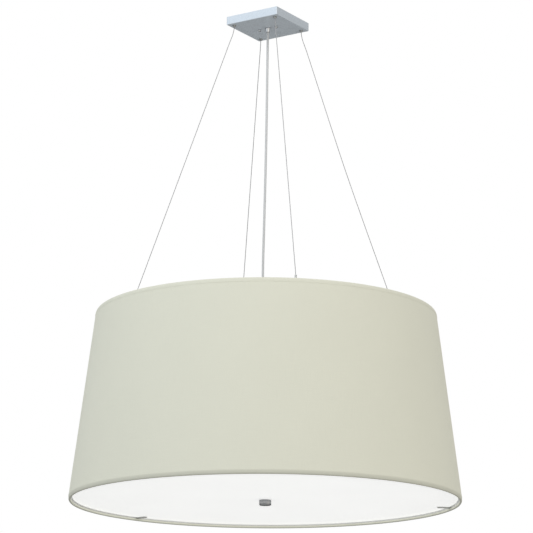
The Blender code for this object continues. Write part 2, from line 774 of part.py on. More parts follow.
def make_lamps(finishes, shade_set):
    """The lampholders and their lamps, turned about Z and then laid down along X and Y."""
    back = cluster_radius + seat_gap
    floor = back + holder_back_thickness
    mouth = back + holder_length
    nipple_end = cluster_radius - cluster_wall - holder_nipple_reach
    outline = (
        (0, nipple_end),
        (holder_nipple_radius, nipple_end),
        (holder_nipple_radius, back),
        (holder_bore_radius, back),
        (holder_radius, back + holder_shoulder),
        (holder_radius, mouth),
        (holder_bore_radius, mouth),
        (holder_bore_radius, floor),
        (0, floor),
    )
    holder = mesh_data("lampholder", turned(outline, lamp_segments), finishes["holder_white"])
    tip = floor + seat_gap
    base_end = tip + lamp_base_length
    bulb_length = lamp_length - lamp_base_length
    outline = [
        (0, tip),
        (lamp_tip_radius, tip),
        (lamp_base_radius, tip + lamp_tip_length),
        (lamp_base_radius, base_end),
        *((lamp_radius * wide, base_end + bulb_length * along) for wide, along in bulb_outline_shares),
    ]
    lamp = mesh_data("lamp", turned(outline, lamp_segments), finishes["lamp_opal"])
    for number, turn in enumerate(lamp_turns(), 1):
        place(f"lampholder_{number}", holder, shade_set, (0, 0, lamp_rise), turn)
        place(f"lamp_{number}", lamp, shade_set, (0, 0, lamp_rise), turn)


def make_diffuser(finishes, shade_set):
    """The diffuser disc, the three tongues under its edge and the finial under its middle."""
    hole = lower_stem_radius + diffuser_hole_clearance
    disc_top = diffuser_rise + diffuser_thickness
    outline = (
        (hole, diffuser_rise),
        (diffuser_radius, diffuser_rise),
        (diffuser_radius, disc_top),
        (hole, disc_top),
    )
    disc = mesh_data("diffuser", turned(outline, shade_segments), finishes["opal_acrylic"])
    place("diffuser", disc, shade_set)

    tongue_low = (diffuser_radius - tongue_grip, -tongue_width / 2, liner_bottom_rise)
    tongue_high = (reach_inside_liner(tongue_top_rise), tongue_width / 2, tongue_top_rise)
    strip = round_upright_edges(block(tongue_low, tongue_high), tongue_corner_radius)
    tongue = mesh_data("diffuser_tongue", strip, finishes["zinc_plate"])
    for number, azimuth in enumerate(tongue_azimuths, 1):
        place(f"diffuser_tongue_{number}", tongue, shade_set, turn=Matrix.Rotation(azimuth, 4, "Z"))

    bottom = finial_top_rise - finial_height
    bore = lower_stem_radius + seat_gap
    bore_end = finial_top_rise - finial_bore_depth
    edge_centre = (finial_radius - finial_edge_radius, bottom + finial_edge_radius)
    outline = (
        (0, bottom),
        *arc(edge_centre, finial_edge_radius, -pi / 2, 0, finial_edge_steps),
        (finial_radius, finial_top_rise - finial_chamfer),
        (finial_radius - finial_chamfer, finial_top_rise),
        (bore, finial_top_rise),
        (bore, bore_end),
        (0, bore_end),
    )
    place("finial", mesh_data("finial", turned(outline, round_segments), finishes["chrome"]), shade_set)


def main():
    clear_scene()
    finishes = make_finishes()
    ceiling_set = make_set("ceiling_set")
    shade_set = make_set("shade_set", (0, 0, shade_bottom))
    make_canopy(finishes, ceiling_set)
    make_ceiling_bar(finishes, ceiling_set)
    make_ceiling_screws(finishes, ceiling_set)
    make_cord_grip(finishes, ceiling_set)
    make_grippers(finishes, ceiling_set)
    make_wires_and_cord(finishes, ceiling_set)
    make_shade(finishes, shade_set)
    make_spider(finishes, shade_set)
    make_stem(finishes, shade_set)
    make_cluster(finishes, shade_set)
    make_lamps(finishes, shade_set)
    make_diffuser(finishes, shade_set)


main()
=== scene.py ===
"""Looks of a drum chandelier: the finished pieces around its packed frame, in a plain studio.

Laid out as an add-on and run as a script. Metres, +Z up, with the origin in the middle of the ceiling plane.
The outline of a turned piece is a half section of (radius, height) corners. A third number in a corner is how
far back along both sides its rounding starts, and a Thread stands for the corners of a threaded stretch.
"""

from collections import namedtuple
from math import atan2, cos, hypot, pi, radians, sin, tau

import bmesh
import bpy
from bpy.props import FloatProperty, FloatVectorProperty, PointerProperty
from bpy.types import Operator, Panel, PropertyGroup
from mathutils import Matrix, Vector, noise


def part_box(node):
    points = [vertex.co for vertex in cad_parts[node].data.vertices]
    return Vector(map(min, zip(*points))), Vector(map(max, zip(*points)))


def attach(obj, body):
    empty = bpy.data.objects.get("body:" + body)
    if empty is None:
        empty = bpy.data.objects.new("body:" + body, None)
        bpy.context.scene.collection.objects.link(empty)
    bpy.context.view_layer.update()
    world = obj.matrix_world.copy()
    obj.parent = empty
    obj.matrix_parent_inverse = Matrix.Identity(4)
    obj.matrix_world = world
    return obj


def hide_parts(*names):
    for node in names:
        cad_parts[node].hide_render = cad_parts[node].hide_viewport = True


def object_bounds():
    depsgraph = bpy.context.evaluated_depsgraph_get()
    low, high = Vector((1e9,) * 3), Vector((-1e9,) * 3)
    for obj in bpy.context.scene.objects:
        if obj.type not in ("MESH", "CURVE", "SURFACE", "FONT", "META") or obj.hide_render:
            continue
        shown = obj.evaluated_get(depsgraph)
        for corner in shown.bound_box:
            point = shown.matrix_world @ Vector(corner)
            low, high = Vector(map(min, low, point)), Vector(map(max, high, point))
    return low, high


bl_info = {
    "name": "Drum Chandelier",
    "version": (1, 0, 0),
    "blender": (4, 5, 0),
    "location": "3D View > Sidebar > Drum Chandelier",
    "description": "Builds the finished pieces of a drum chandelier around its packed frame",
    "category": "Add Mesh",
}

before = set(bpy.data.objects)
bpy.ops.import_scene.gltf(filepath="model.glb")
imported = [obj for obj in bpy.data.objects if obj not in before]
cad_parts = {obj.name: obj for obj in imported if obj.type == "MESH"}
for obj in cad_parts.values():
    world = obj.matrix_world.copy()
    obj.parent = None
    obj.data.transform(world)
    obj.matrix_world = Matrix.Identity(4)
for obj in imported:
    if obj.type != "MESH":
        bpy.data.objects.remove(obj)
cad_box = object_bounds()

# Steps that the round and bent surfaces are made with
wide_segments = 288
round_segments = 64
small_segments = 40
ring_sides = 14
corner_steps = 6
ease_steps = 4
route_steps = 24
globe_steps = 6
hem_arc_steps = 6
hem_cone_steps = 12
hem_back_steps = 10
fabric_rows = 44
lining_rows = 24
seam_rows = 40
rings_per_thread_turn = 6
fold_segments = 4
rim_segments = 2
floor_segments = 96
field_segments = 32
field_sweep = radians(170)
merge_distance = 0.000002
smooth_below_angle = radians(38)

# Roundings and small set-backs, from the finest to the fullest
hair = 0.0001
crisp = 0.0002
fine = 0.0003
slight = 0.0004
mild = 0.0005
soft = 0.0006
mellow = 0.0007
easy = 0.0008
broad = 0.0010
wide = 0.0012
ample = 0.0020
deep = 0.0025
full = 0.0030

# Places that the frame gives
shade_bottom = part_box("shade_fabric")[0].z
shade_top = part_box("shade_fabric")[1].z
shade_rise = shade_top - shade_bottom
canopy_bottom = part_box("canopy")[0].z
canopy_half_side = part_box("canopy")[1].x
seat = canopy_bottom - hair
both = (1, 2)
all_four = (1, 2, 3, 4)
wire_azimuths = [radians(45 + 90 * quarter) for quarter in range(4)]

# The power cord's middle line, as (sideways, height) pairs in the upright plane at cord_azimuth, and how far
# each wire's middle hangs in from its straight line, as a share of its length
cord_azimuth = radians(33)
cord_route = (
    (0.0, -0.0004), (0.0, -0.0120), (0.0, -0.0285), (0.0, -0.0400), (-0.0006, -0.1200), (-0.0016, -0.2300),
    (-0.0034, -0.3500), (-0.0056, -0.4600), (-0.0073, -0.5400), (-0.0070, -0.5750), (-0.0038, -0.6020),
    (-0.0008, -0.6180), (0.0, -0.6270), (0.0, -0.6450), (0.0, -0.7300), (0.0, -0.8150),
)
wire_sag_shares = (0.0056, 0.0, 0.0, 0.0)

# A wire rope's outline over one strand, as shares of its radius, and the steps where a ferrule is crimped
strand_outline_shares = (1.0, 0.929, 0.577, 0.929)
strand_count = 6
ferrule_crimps = (1, 0, 0, 1, 0, 0, 1, 0, 0, 0, 0, 1)

# The lamp's globe beyond its base, as shares of (lamp radius, length from the base's end to the crown)
globe_outline_shares = (
    (0.44, 0.01), (0.45, 0.07), (0.60, 0.23), (0.82, 0.40), (0.98, 0.57),
    (1.0, 0.70), (0.90, 0.86), (0.62, 0.965), (0.25, 0.997), (0.0, 1.0),
)

# How much painted shade darkens the hems' cloth, as shares: low outside, high outside and underneath, and how
# much painted light lightens it inside
low_hem_painted_shade = 0.48
high_hem_painted_shade = 0.04
under_hem_painted_shade = 0.48
inner_hem_painted_light = 0.22

white = (1.0, 1.0, 1.0, 1.0)
stage_roughness = 0.9
clip_distances = (0.1, 100.0)

# Each light's turn from the camera's own azimuth, level distance, height and colour
lights = {
    "key": (radians(-15), 2.4, 1.2, (1.0, 1.0, 0.99)),
    "left": (radians(-74), 3.2, 0.9, (0.58, 0.80, 1.0)),
    "right": (radians(58), 3.4, -0.8, (1.0, 0.86, 0.62)),
}


def length(default, description):
    """A size in metres that a user may change."""
    return FloatProperty, {
        "default": default, "description": description, "min": 0, "precision": 5, "unit": "LENGTH",
    }


def share(default, description):
    """A share from none to all that a user may change."""
    return FloatProperty, {
        "default": default, "description": description, "min": 0, "max": 1, "subtype": "FACTOR",
    }


def strength(default, description):
    """A level of light that a user may change."""
    return FloatProperty, {"default": default, "description": description, "min": 0}


def turn(default, description):
    """An angle that a user may change, with its default in degrees."""
    return FloatProperty, {
        "default": radians(default), "description": description, "subtype": "ANGLE", "unit": "ROTATION",
    }


def tint(default, description):
    """A colour that a user may change."""
    return FloatVectorProperty, {
        "default": default, "description": description, "size": 3, "min": 0, "max": 1, "subtype": "COLOR",
    }


def named(group):
    """Makes a group's settings properties, each with the name that its identifier reads as."""
    for identifier, (kind, options) in group.__annotations__.items():
        name = identifier.replace("_", " ").capitalize()
        group.__annotations__[identifier] = kind(name=name, **options)
    return group


@named
class CeilingSizes(PropertyGroup):
    """Sizes of the canopy and of what is fastened to it."""

    canopy_wall: length(0.0012, "Thickness of the canopy's sheet")
    canopy_corner: length(0.0014, "Radius of the canopy's upright corners")
    canopy_edge: length(0.0008, "Rounding of the canopy's lower edges")
    bar_corner: length(0.002, "Radius of the ceiling bar's corners")
    bar_slot_width: length(0.006, "Width of the ceiling bar's two slots")
    bar_slot_length: length(0.017, "Length of the ceiling bar's two slots")
    bar_slot_margin: length(0.006, "Metal left beyond each slot")
    bar_hole: length(0.0063, "Radius of the hole that the cord passes")
    screw_shank: length(0.002, "Radius of a canopy screw's thread")
    screw_dome: length(0.0013, "Height of the crown on a canopy screw's head")
    screw_slot: length(0.0009, "Width of a screw's slot")
    ground_shank: length(0.0015, "Radius of the ground screw's thread")
    grip_tip: length(0.0036, "Radius of the cord grip where the cord leaves it")
    grip_flange: length(0.0015, "Height of the cord grip's flange")
    grip_thread: length(0.0047, "Radius of the cord grip's thread")
    gripper_thread: length(0.003, "Radius of a wire gripper's thread")
    gripper_bore_depth: length(0.006, "How far a plunger can reach into its gripper")
    plunger_mouth: length(0.0018, "Radius of the mouth that a wire leaves a plunger by")
    plunger_mouth_depth: length(0.0012, "Depth of that mouth")
    thread_pitch: length(0.0010, "Pitch of the fittings' threads")
    thread_depth: length(0.00035, "Depth of the fittings' threads")


@named
class SuspensionSizes(PropertyGroup):
    """Sizes of the wires and of the power cord."""

    wire_radius: length(0.00075, "Radius of a suspension wire over its strands")
    wire_lay: length(0.0105, "Length in which a wire's strands go round once")
    wire_step: length(0.0008, "Distance between the rings of a wire's mesh")
    wire_tail: length(0.004, "Depth below the ceiling at which a wire's upper end stops")
    wire_guide: length(0.003, "Straight length at a fitting's mouth")
    wire_bend: length(0.014, "Length in which a wire bends from upright to its slant")
    wire_settle: length(0.042, "Length beyond a bend's middle in which a wire comes to its slant")
    anchor_depth: length(0.0117, "How far a wire reaches into its anchor")
    ferrule_radius: length(0.0022, "Radius of the ferrule crimped on a wire above its anchor")
    ferrule_crimp: length(0.0003, "Depth of the rings pressed into a ferrule")
    cord_radius: length(0.0025, "Radius of the power cord")
    cord_lay: length(0.055, "Length in which the cord's three leads go round once")
    cord_relief: length(0.00007, "How far the leads show through the cord's jacket")
    cord_step: length(0.002, "Distance between the rings of the cord's mesh")


@named
class ShadeSizes(PropertyGroup):
    """Sizes of the drum shade."""

    bottom_radius: length(0.400, "Radius of the shade's lower edge")
    top_radius: length(0.352, "Radius of the shade's upper edge")
    fabric: length(0.0006, "Thickness of the fabric")
    tape: length(0.0003, "How far the hem tape stands out from the fabric")
    bottom_band: length(0.0095, "Height of the lower hem tape")
    top_band: length(0.0085, "Height of the upper hem tape")
    hem_centre: length(0.0029, "Height of a hem's wire above or below the shade's edge")
    hem_return: length(0.0017, "Height of the tape's inner edge beyond the hem's wire")
    # Painted shade darkens the lower hem's underside up to this height
    hem_under: length(0.00319, "Height up to which the lower hem's underside is darker")
    ring_wire: length(0.0018, "Radius of the wire in each hem")
    liner: length(0.0008, "Thickness of the lining")
    liner_gap: length(0.0009, "Distance from the shade's outer face to the lining")
    liner_lap: length(0.00112, "Thickness of the lining where its ends lap")
    seam_width: length(0.011, "Width of the lap at the back of the shade")
    unevenness: length(0.00018, "How far the stretched fabric wanders from its cone")
    unevenness_size: length(0.09, "Distance from one slack place in the fabric to the next")
    unevenness_margin: length(0.04, "Distance from the hems in which the unevenness fades out")
    seam_azimuth: turn(123, "Direction in which the shade's seam looks")
    spider_clearance: length(0.004, "Height that the lining's lap leaves free under the arms")


@named
class FrameSizes(PropertyGroup):
    """Sizes of the metal frame inside the shade."""

    arm_start: length(0.010, "Distance of a spider arm's inner end from the axis")
    arm_end: length(0.3498, "Distance of a spider arm's outer end from the axis")
    arm_width: length(0.014, "Width of a spider arm")
    arm_corner: length(0.001, "Radius of a spider arm's corners")
    arm_edge: length(0.0004, "Rounding of a spider arm's long edges")
    anchor_barrel: length(0.0024, "Radius of a wire anchor's barrel")
    anchor_line: length(0.0048, "Depth below an anchor's top at which the line round it starts")
    anchor_line_height: length(0.0012, "Height of the line round a wire anchor")
    anchor_flange: length(0.002, "Height of a wire anchor's flange")
    anchor_stud: length(0.0025, "Radius of a wire anchor's stud")
    anchor_stud_length: length(0.004, "Length of a wire anchor's stud")
    anchor_pitch: length(0.0008, "Pitch of the stud's thread")
    anchor_thread_depth: length(0.00024, "Depth of the stud's thread")
    anchor_mouth: length(0.0015, "Radius of the mouth that a wire enters its anchor by")
    anchor_bore_depth: length(0.012, "Depth of a wire anchor's bore")
    stem_radius: length(0.005, "Radius of the stem")
    stem_bore: length(0.0032, "Radius of the stem's bore")
    stem_pitch: length(0.0010, "Pitch of the threads on both stems")
    stem_thread_depth: length(0.0005, "Depth of the threads on both stems")
    stem_thread_length: length(0.034, "Threaded length at the stem's top, and half of the one at its foot")
    stem_window_width: length(0.004, "Width of the window where the leads leave the stem")
    stem_window_height: length(0.012, "Height of that window")
    cap_tip: length(0.0045, "Radius of the stem cap's tip")
    cap_overlap: length(0.0065, "How far the stem cap goes down over the stem")
    coupling_line: length(0.0024, "Height of the line round the coupling")
    lower_stem: length(0.0032, "Radius of the lower stem")
    lower_thread_length: length(0.020, "Threaded length at each end of the lower stem")
    cluster_wall: length(0.0015, "Thickness of the lamp cluster's side")
    cluster_top: length(0.002, "Thickness of the lamp cluster's top")
    cover_thickness: length(0.0015, "Thickness of the lamp cluster's cover")
    cover_lip: length(0.001, "Thickness of the lip on the cover")
    nut_chamfer: length(0.0005, "Height of the chamfer on a nut's corners")


@named
class LampSizes(PropertyGroup):
    """Sizes of the lampholders and the lamps."""

    holder_nipple: length(0.0048, "Radius of a lampholder's nipple")
    holder_back: length(0.0035, "Thickness of a lampholder's back")
    holder_shoulder: length(0.004, "Length of a lampholder's sloping shoulder")
    holder_collar: length(0.006, "Plain length between the shoulder and the thread round a lampholder")
    holder_bore: length(0.0143, "Radius of a lampholder's bore")
    holder_thread_pitch: length(0.0030, "Pitch of the thread round a lampholder")
    holder_thread_depth: length(0.0006, "Depth of the thread round a lampholder")
    lamp_radius: length(0.030, "Radius of a lamp's globe")
    base_radius: length(0.0132, "Radius of a lamp's base")
    base_length: length(0.0265, "Length of a lamp's base")
    base_tip: length(0.0045, "Radius of the contact at a lamp's tip")
    base_tip_length: length(0.0035, "Length of a lamp's tapered tip")
    base_thread_pitch: length(0.0036, "Pitch of a lamp base's thread")
    base_thread_depth: length(0.0008, "Depth of a lamp base's thread")


@named
class DiffuserSizes(PropertyGroup):
    """Sizes of the diffuser, its tongues and the finial."""

    hole: length(0.0045, "Radius of the hole in the diffuser")
    edge: length(0.0005, "Rounding of the diffuser's edges")
    tongue_start: length(0.367, "Distance of a tongue's inner end from the axis")
    tongue_end: length(0.3969, "Distance of a tongue's outer end from the axis")
    tongue_width: length(0.012, "Width of a tongue")
    tongue_corner: length(0.0045, "Radius of a tongue's corners")
    tongue_edge: length(0.0003, "Rounding of a tongue's edges")
    finial_bore: length(0.0035, "Radius of the finial's bore")
    finial_bore_depth: length(0.008, "Depth of the finial's bore")
    finial_edge: length(0.0028, "Rounding of the finial's lower edge")
    finial_dome: length(0.0007, "How far the finial's underside bulges")
    finial_groove: length(0.0003, "Depth of the line round the finial")
    finial_collar: length(0.0030, "Height of the finial above its line")
    # Painted reflection: the finial's plating is made darker to stand in for the dark surroundings it mirrors
    finial_painted_dark_reflection: share(0.45, "How much darker the finial's plating is than the other fittings'")


@named
class Colours(PropertyGroup):
    """Colours of the finishes, as they look in daylight."""

    silver_paint: tint((0.604, 0.664, 0.728), "Canopy")
    chrome: tint((0.52, 0.53, 0.54), "Fittings and finial")
    zinc_plate: tint((0.46, 0.46, 0.45), "Hidden metalwork and tongues")
    ground_green: tint((0.10, 0.42, 0.16), "Ground screw")
    wire_steel: tint((0.44, 0.44, 0.45), "Suspension wires")
    cord_jacket: tint((0.59, 0.60, 0.61), "Power cord")
    linen: tint((0.735, 0.740, 0.635), "Shade fabric")
    lining: tint((0.86, 0.86, 0.84), "Inside of the shade")
    frame_white: tint((0.80, 0.80, 0.79), "Frame inside the shade")
    opal_acrylic: tint((0.92, 0.925, 0.915), "Diffuser")
    holder_white: tint((0.82, 0.81, 0.76), "Lampholders")
    lamp_opal: tint((0.90, 0.89, 0.86), "Lamps' globes")
    # Painted light: the strength of the light that the diffuser's underside gives off, though it is no lamp
    diffuser_painted_emission: strength(0.445, "Light that the diffuser passes on from inside the shade")


@named
class StudioSettings(PropertyGroup):
    """The camera, the lights and the floor."""

    camera_azimuth: turn(32.99, "Direction from the chandelier to the camera, from -Y")
    camera_distance: length(4.7528, "Level distance from the chandelier's axis")
    camera_drop: length(1.6979, "Depth of the camera below the ceiling")
    camera_pitch: turn(13.677, "How far the camera looks up")
    camera_roll: turn(0.315, "How far the camera leans")
    camera_lens: (FloatProperty, {"default": 158.73, "description": "Focal length", "unit": "CAMERA"})
    floor_drop: length(2.6, "Depth of the floor below the ceiling")
    floor_radius: length(9.0, "Radius of the floor")
    floor_colour: tint((0.74, 0.74, 0.73), "Colour of the floor")
    world_level: strength(0.68, "Light from all round")
    light_size: length(2.4, "Side of each square light")
    key_level: strength(31.5, "Power of the large light above the camera")
    left_level: strength(10.1, "Power of the cool light at the left")
    right_level: strength(11.8, "Power of the warm light at the right")
    field_level: strength(0.16, "Brightness of the field that metal mirrors behind the chandelier")


class ChandelierSettings(PropertyGroup):
    """All that a user may change on the chandelier."""

    ceiling: PointerProperty(type=CeilingSizes)
    suspension: PointerProperty(type=SuspensionSizes)
    shade: PointerProperty(type=ShadeSizes)
    metalwork: PointerProperty(type=FrameSizes)
    lamps: PointerProperty(type=LampSizes)
    diffuser: PointerProperty(type=DiffuserSizes)
    colours: PointerProperty(type=Colours)
    studio: PointerProperty(type=StudioSettings)


def settings():
    return bpy.context.scene.drum_chandelier


class Signal:
    """A shader socket's value. An expression on it adds the Math nodes that work it out."""

    def __init__(self, nodes, socket):
        self.nodes = nodes
        self.socket = socket

    def maths(self, operation, *values):
        return self.nodes.add("Math", {"operation": operation}, dict(enumerate(values)))

    def __add__(self, other):
        return self.maths("ADD", self, other)

    def __sub__(self, other):
        return self.maths("SUBTRACT", self, other)

    def __rsub__(self, other):
        return self.maths("SUBTRACT", other, self)

    def __mul__(self, other):
        return self.maths("MULTIPLY", self, other)

    def __truediv__(self, other):
        return self.maths("DIVIDE", self, other)

    def __rtruediv__(self, other):
        return self.maths("DIVIDE", other, self)

    def __mod__(self, other):
        return self.maths("FLOORED_MODULO", self, other)

    def __abs__(self):
        return self.maths("ABSOLUTE", self)

    def floor(self):
        return self.maths("FLOOR", self)

    def sine(self):
        return self.maths("SINE", self)

    def above(self, level):
        return self.maths("GREATER_THAN", self, level)

    def clipped(self):
        return self.maths("MAXIMUM", self.maths("MINIMUM", self, 1.0), 0.0)

    __radd__ = __add__
    __rmul__ = __mul__


class Nodes:
    """A node tree in the making."""

    def __init__(self, tree):
        self.tree = tree

    def add(self, kind, choices, sockets, output=0):
        """A node of a type, with its own choices made first, and then the values or links of its sockets."""
        node = self.tree.nodes.new(f"ShaderNode{kind}")
        for title, value in choices.items():
            if title == "stops":
                self.set_stops(node.color_ramp, value)
            else:
                setattr(node, title, value)
        for title, value in sockets.items():
            if isinstance(value, Signal):
                self.tree.links.new(value.socket, node.inputs[title])
            else:
                node.inputs[title].default_value = value
        return Signal(self, node.outputs[output]) if node.outputs else None

    def set_stops(self, ramp, stops):
        """Sets a ramp's stops, given as (place, grey level) pairs."""
        while len(ramp.elements) < len(stops):
            ramp.elements.new(1.0)
        for element, (place, level) in zip(ramp.elements, stops):
            element.position = place
            element.color = (level, level, level, 1.0)


class Finish(Nodes):
    """A material in the making: its shader's fixed values first, then the nodes that vary it."""

    def __init__(self, name, colour, roughness, **fixed):
        self.material = bpy.data.materials.new(f"{name}_finish")
        self.material.use_nodes = True
        super().__init__(self.material.node_tree)
        self.shader = self.tree.nodes["Principled BSDF"]
        self.colour = colour
        self.shader.inputs["Base Color"].default_value = (*colour, 1.0)
        self.shader.inputs["Roughness"].default_value = roughness
        for title, value in fixed.items():
            self.shader.inputs[title.replace("_", " ")].default_value = value

    def places(self, stretch=(1.0, 1.0, 1.0)):
        """Places on the piece in metres, stretched along its axes."""
        spot = self.add("TexCoord", {}, {}, "Object")
        return self.add("Mapping", {}, {"Vector": spot, "Scale": stretch})

    def speckle(self, places, size, detail=2.0, roughness=0.5):
        """Soft random levels from 0 to 1 whose patches have a size in metres."""
        sockets = {"Vector": places, "Scale": 1.0 / size, "Detail": detail, "Roughness": roughness}
        return self.add("TexNoise", {}, sockets)

    def crystal(self, places, size, channel):
        """Random levels that stay the same over each of many crystals with a size in metres."""
        colours = self.add("TexVoronoi", {"feature": "F1"}, {"Vector": places, "Scale": 1.0 / size}, "Color")
        return self.add("SeparateColor", {}, {"Color": colours}, channel)

    def slub(self, along, number, seed):
        """How thick a thread is along its length, by the thread's number."""
        slubs_per_metre, thread_offset = 28.0, 0.71
        spot = self.add(
            "CombineXYZ", {}, {"X": along * slubs_per_metre, "Y": number * thread_offset, "Z": seed}
        )
        return self.add("TexNoise", {}, {"Vector": spot, "Scale": 1.0, "Detail": 2.0})

    def axis_of(self, spot, axis):
        """One of a place's coordinates, from X, Y and Z."""
        return self.add("SeparateXYZ", {}, {"Vector": spot}, axis)

    def attribute(self, name):
        return self.add("Attribute", {"attribute_name": name}, {}, "Fac")

    def ramp(self, level, *stops):
        return self.add("ValToRGB", {"stops": stops}, {"Fac": level})

    def shaded(self, amount):
        """The finish's own colour, made darker or lighter by a varying amount near 1."""
        grey = self.add("CombineXYZ", {}, {axis: amount for axis in "XYZ"})
        return self.add("VectorMath", {"operation": "MULTIPLY"}, {0: grey, 1: self.colour})

    def feed(self, title, signal):
        self.tree.links.new(signal.socket, self.shader.inputs[title])

    def relief(self, height, distance):
        """Raises the surface by a varying height from 0 to 1, times a distance in metres."""
        bump = self.add("Bump", {}, {"Height": height, "Distance": distance, "Strength": 1.0}, "Normal")
        self.feed("Normal", bump)


def layered(slot, colour, roughness, patches, grain, shade, gloss, height, **fixed):
    """A finish of soft patches and a fine grain, each with a size, a detail and, in some, a roughness. Shade
    and gloss are a level and then what patches and grain add to it."""
    finish = Finish(slot, colour, roughness, **fixed)
    places = finish.places()
    layers = finish.speckle(places, *patches), finish.speckle(places, *grain)
    for title, (level, *amounts) in (("Base Color", shade), ("Roughness", gloss)):
        for layer, amount in zip(layers, amounts):
            level = level + layer * amount
        finish.feed(title, finish.shaded(level) if title == "Base Color" else level)
    finish.relief(layers[1], height)
    return finish.material


# Lacquer over metal, drawn strands with a dull film, a soft jacket with a bloom, glued plastic sheet, powder
# coat with its orange peel, moulded plastic with flow marks, and opal glass under a clear gloss
layered_finishes = {
    "ground_green": {
        "roughness": 0.35, "patches": (0.0012, 4.0), "grain": (0.0005, 2.0), "shade": (0.80, 0.40),
        "gloss": (0.28, 0.18), "height": 0.000005, "Metallic": 0.35,
    },
    "wire_steel": {
        "roughness": 0.50, "patches": (0.012, 4.0, 0.6), "grain": (0.0004, 3.0), "shade": (0.86, 0.14, 0.10),
        "gloss": (0.42, 0.14, 0.06), "height": 0.000006, "Metallic": 0.6,
    },
    "cord_jacket": {
        "roughness": 0.42, "patches": (0.02, 4.0, 0.6), "grain": (0.0007, 3.0), "shade": (0.94, 0.08, 0.04),
        "gloss": (0.34, 0.14, 0.05), "height": 0.000015,
    },
    "lining": {
        "roughness": 0.48, "patches": (0.05, 3.0), "grain": (0.018, 2.0), "shade": (0.975, 0.05),
        "gloss": (0.42, 0.14), "height": 0.00008,
    },
    "frame_white": {
        "roughness": 0.40, "patches": (0.02, 3.0), "grain": (0.0011, 1.5), "shade": (0.97, 0.06),
        "gloss": (0.34, 0.0, 0.12), "height": 0.00003,
    },
    "holder_white": {
        "roughness": 0.36, "patches": (0.012, 4.0, 0.65), "grain": (0.0008, 2.0), "shade": (0.96, 0.08),
        "gloss": (0.30, 0.12), "height": 0.00001,
    },
    "lamp_opal": {
        "roughness": 0.22, "patches": (0.02, 3.0), "grain": (0.008, 1.0), "shade": (0.98, 0.04),
        "gloss": (0.18, 0.08), "height": 0.00001, "Coat_Weight": 0.4, "Coat_Roughness": 0.08,
    },
}


def make_silver_paint(colour):
    """Fine metallic paint with a slight orange peel, and dust in the flakes' sparkle."""
    finish = Finish("silver_paint", colour, 0.28, Metallic=0.20)
    places = finish.places()
    flake = finish.crystal(places, size=0.00045, channel="Red")
    cloud = finish.speckle(places, size=0.035, detail=3.0)
    finish.feed("Base Color", finish.shaded(0.955 + flake * 0.05 + cloud * 0.05))
    finish.feed("Roughness", 0.24 + flake * 0.04 + cloud * 0.04)
    finish.relief(finish.speckle(places, size=0.0016, detail=1.0), distance=0.00001)
    return finish.material


def make_chrome(colour):
    """Bright plating with faint polishing lines and finger smudges, darker where a piece is smoked."""
    finish = Finish("chrome", colour, 0.14, Metallic=1.0)
    smudge = finish.speckle(finish.places(), size=0.006, detail=4.0, roughness=0.6)
    lines = finish.speckle(finish.places((1.0, 1.0, 14.0)), size=0.0022, detail=2.0)
    finish.feed("Roughness", finish.ramp(smudge, (0.35, 0.10), (0.62, 0.16), (0.75, 0.22)))
    # Painted reflection: darker where a piece is marked to stand in for dark surroundings
    finish.feed("Base Color", finish.shaded((0.96 + lines * 0.06) * (1 - finish.attribute("smoke"))))
    finish.relief(lines, distance=0.000004)
    return finish.material


def make_zinc_plate(colour):
    """Bluish plated steel with soft crystals and rubbed patches."""
    finish = Finish("zinc_plate", colour, 0.40, Metallic=1.0)
    places = finish.places()
    crystal = finish.crystal(places, size=0.0022, channel="Green")
    rubbed = finish.speckle(places, size=0.009, detail=5.0, roughness=0.6)
    warm = (colour[0], colour[1] * 0.97, colour[2] * 0.86, 1.0)
    cool = (colour[0] * 0.93, colour[1] * 0.98, colour[2] * 1.08, 1.0)
    level = (rubbed * 0.8 + crystal * 0.2).clipped()
    finish.feed("Base Color", finish.add("Mix", {"data_type": "RGBA"}, {0: level, 6: warm, 7: cool}, 2))
    finish.feed("Roughness", 0.30 + crystal * 0.10 + rubbed * 0.14)
    finish.relief(finish.speckle(places, size=0.0004, detail=3.0), distance=0.000006)
    return finish.material


def make_linen(colour):
    """Plain-woven slubbed cloth. The map's first coordinate runs round the shade and the second one up it."""
    finish = Finish("linen", colour, 0.92, Sheen_Weight=0.10, Sheen_Roughness=0.45, Specular_IOR_Level=0.22)
    thread_spacing, warp_wander, weft_wander = 0.00062, 1.5, 1.2
    map_place = finish.add("UVMap", {"uv_map": "metres"}, {})
    across, up = finish.axis_of(map_place, "X"), finish.axis_of(map_place, "Y")
    wander = finish.speckle(finish.places(), size=0.03, detail=2.0)
    warp_at = across / thread_spacing + wander * warp_wander
    weft_at = up / thread_spacing + wander * weft_wander
    warp_number, weft_number = warp_at.floor(), weft_at.floor()
    warp_on_top = ((warp_number + weft_number) % 2.0).above(0.5)
    weft_on_top = 1 - warp_on_top
    crown = abs((warp_at * pi).sine()) * warp_on_top + abs((weft_at * pi).sine()) * weft_on_top
    warp_slub = finish.slub(up, warp_number, 7.0)
    weft_slub = finish.slub(across, weft_number, 0.0)
    slub = warp_slub * warp_on_top + weft_slub * weft_on_top
    cloud = finish.speckle(finish.places(), size=0.12, detail=3.0)
    # Painted shade: the crowns make the hollows between threads darker in the colour, beside the relief, and
    # the hems add their painted shade and painted light
    level = (0.90 + crown * 0.08 + slub * 0.10 + cloud * 0.03) * (1 - finish.attribute("hem_shade"))
    finish.feed("Base Color", finish.shaded(level))
    finish.relief(crown * 0.8 + slub * 0.4, distance=0.00009)
    return finish.material


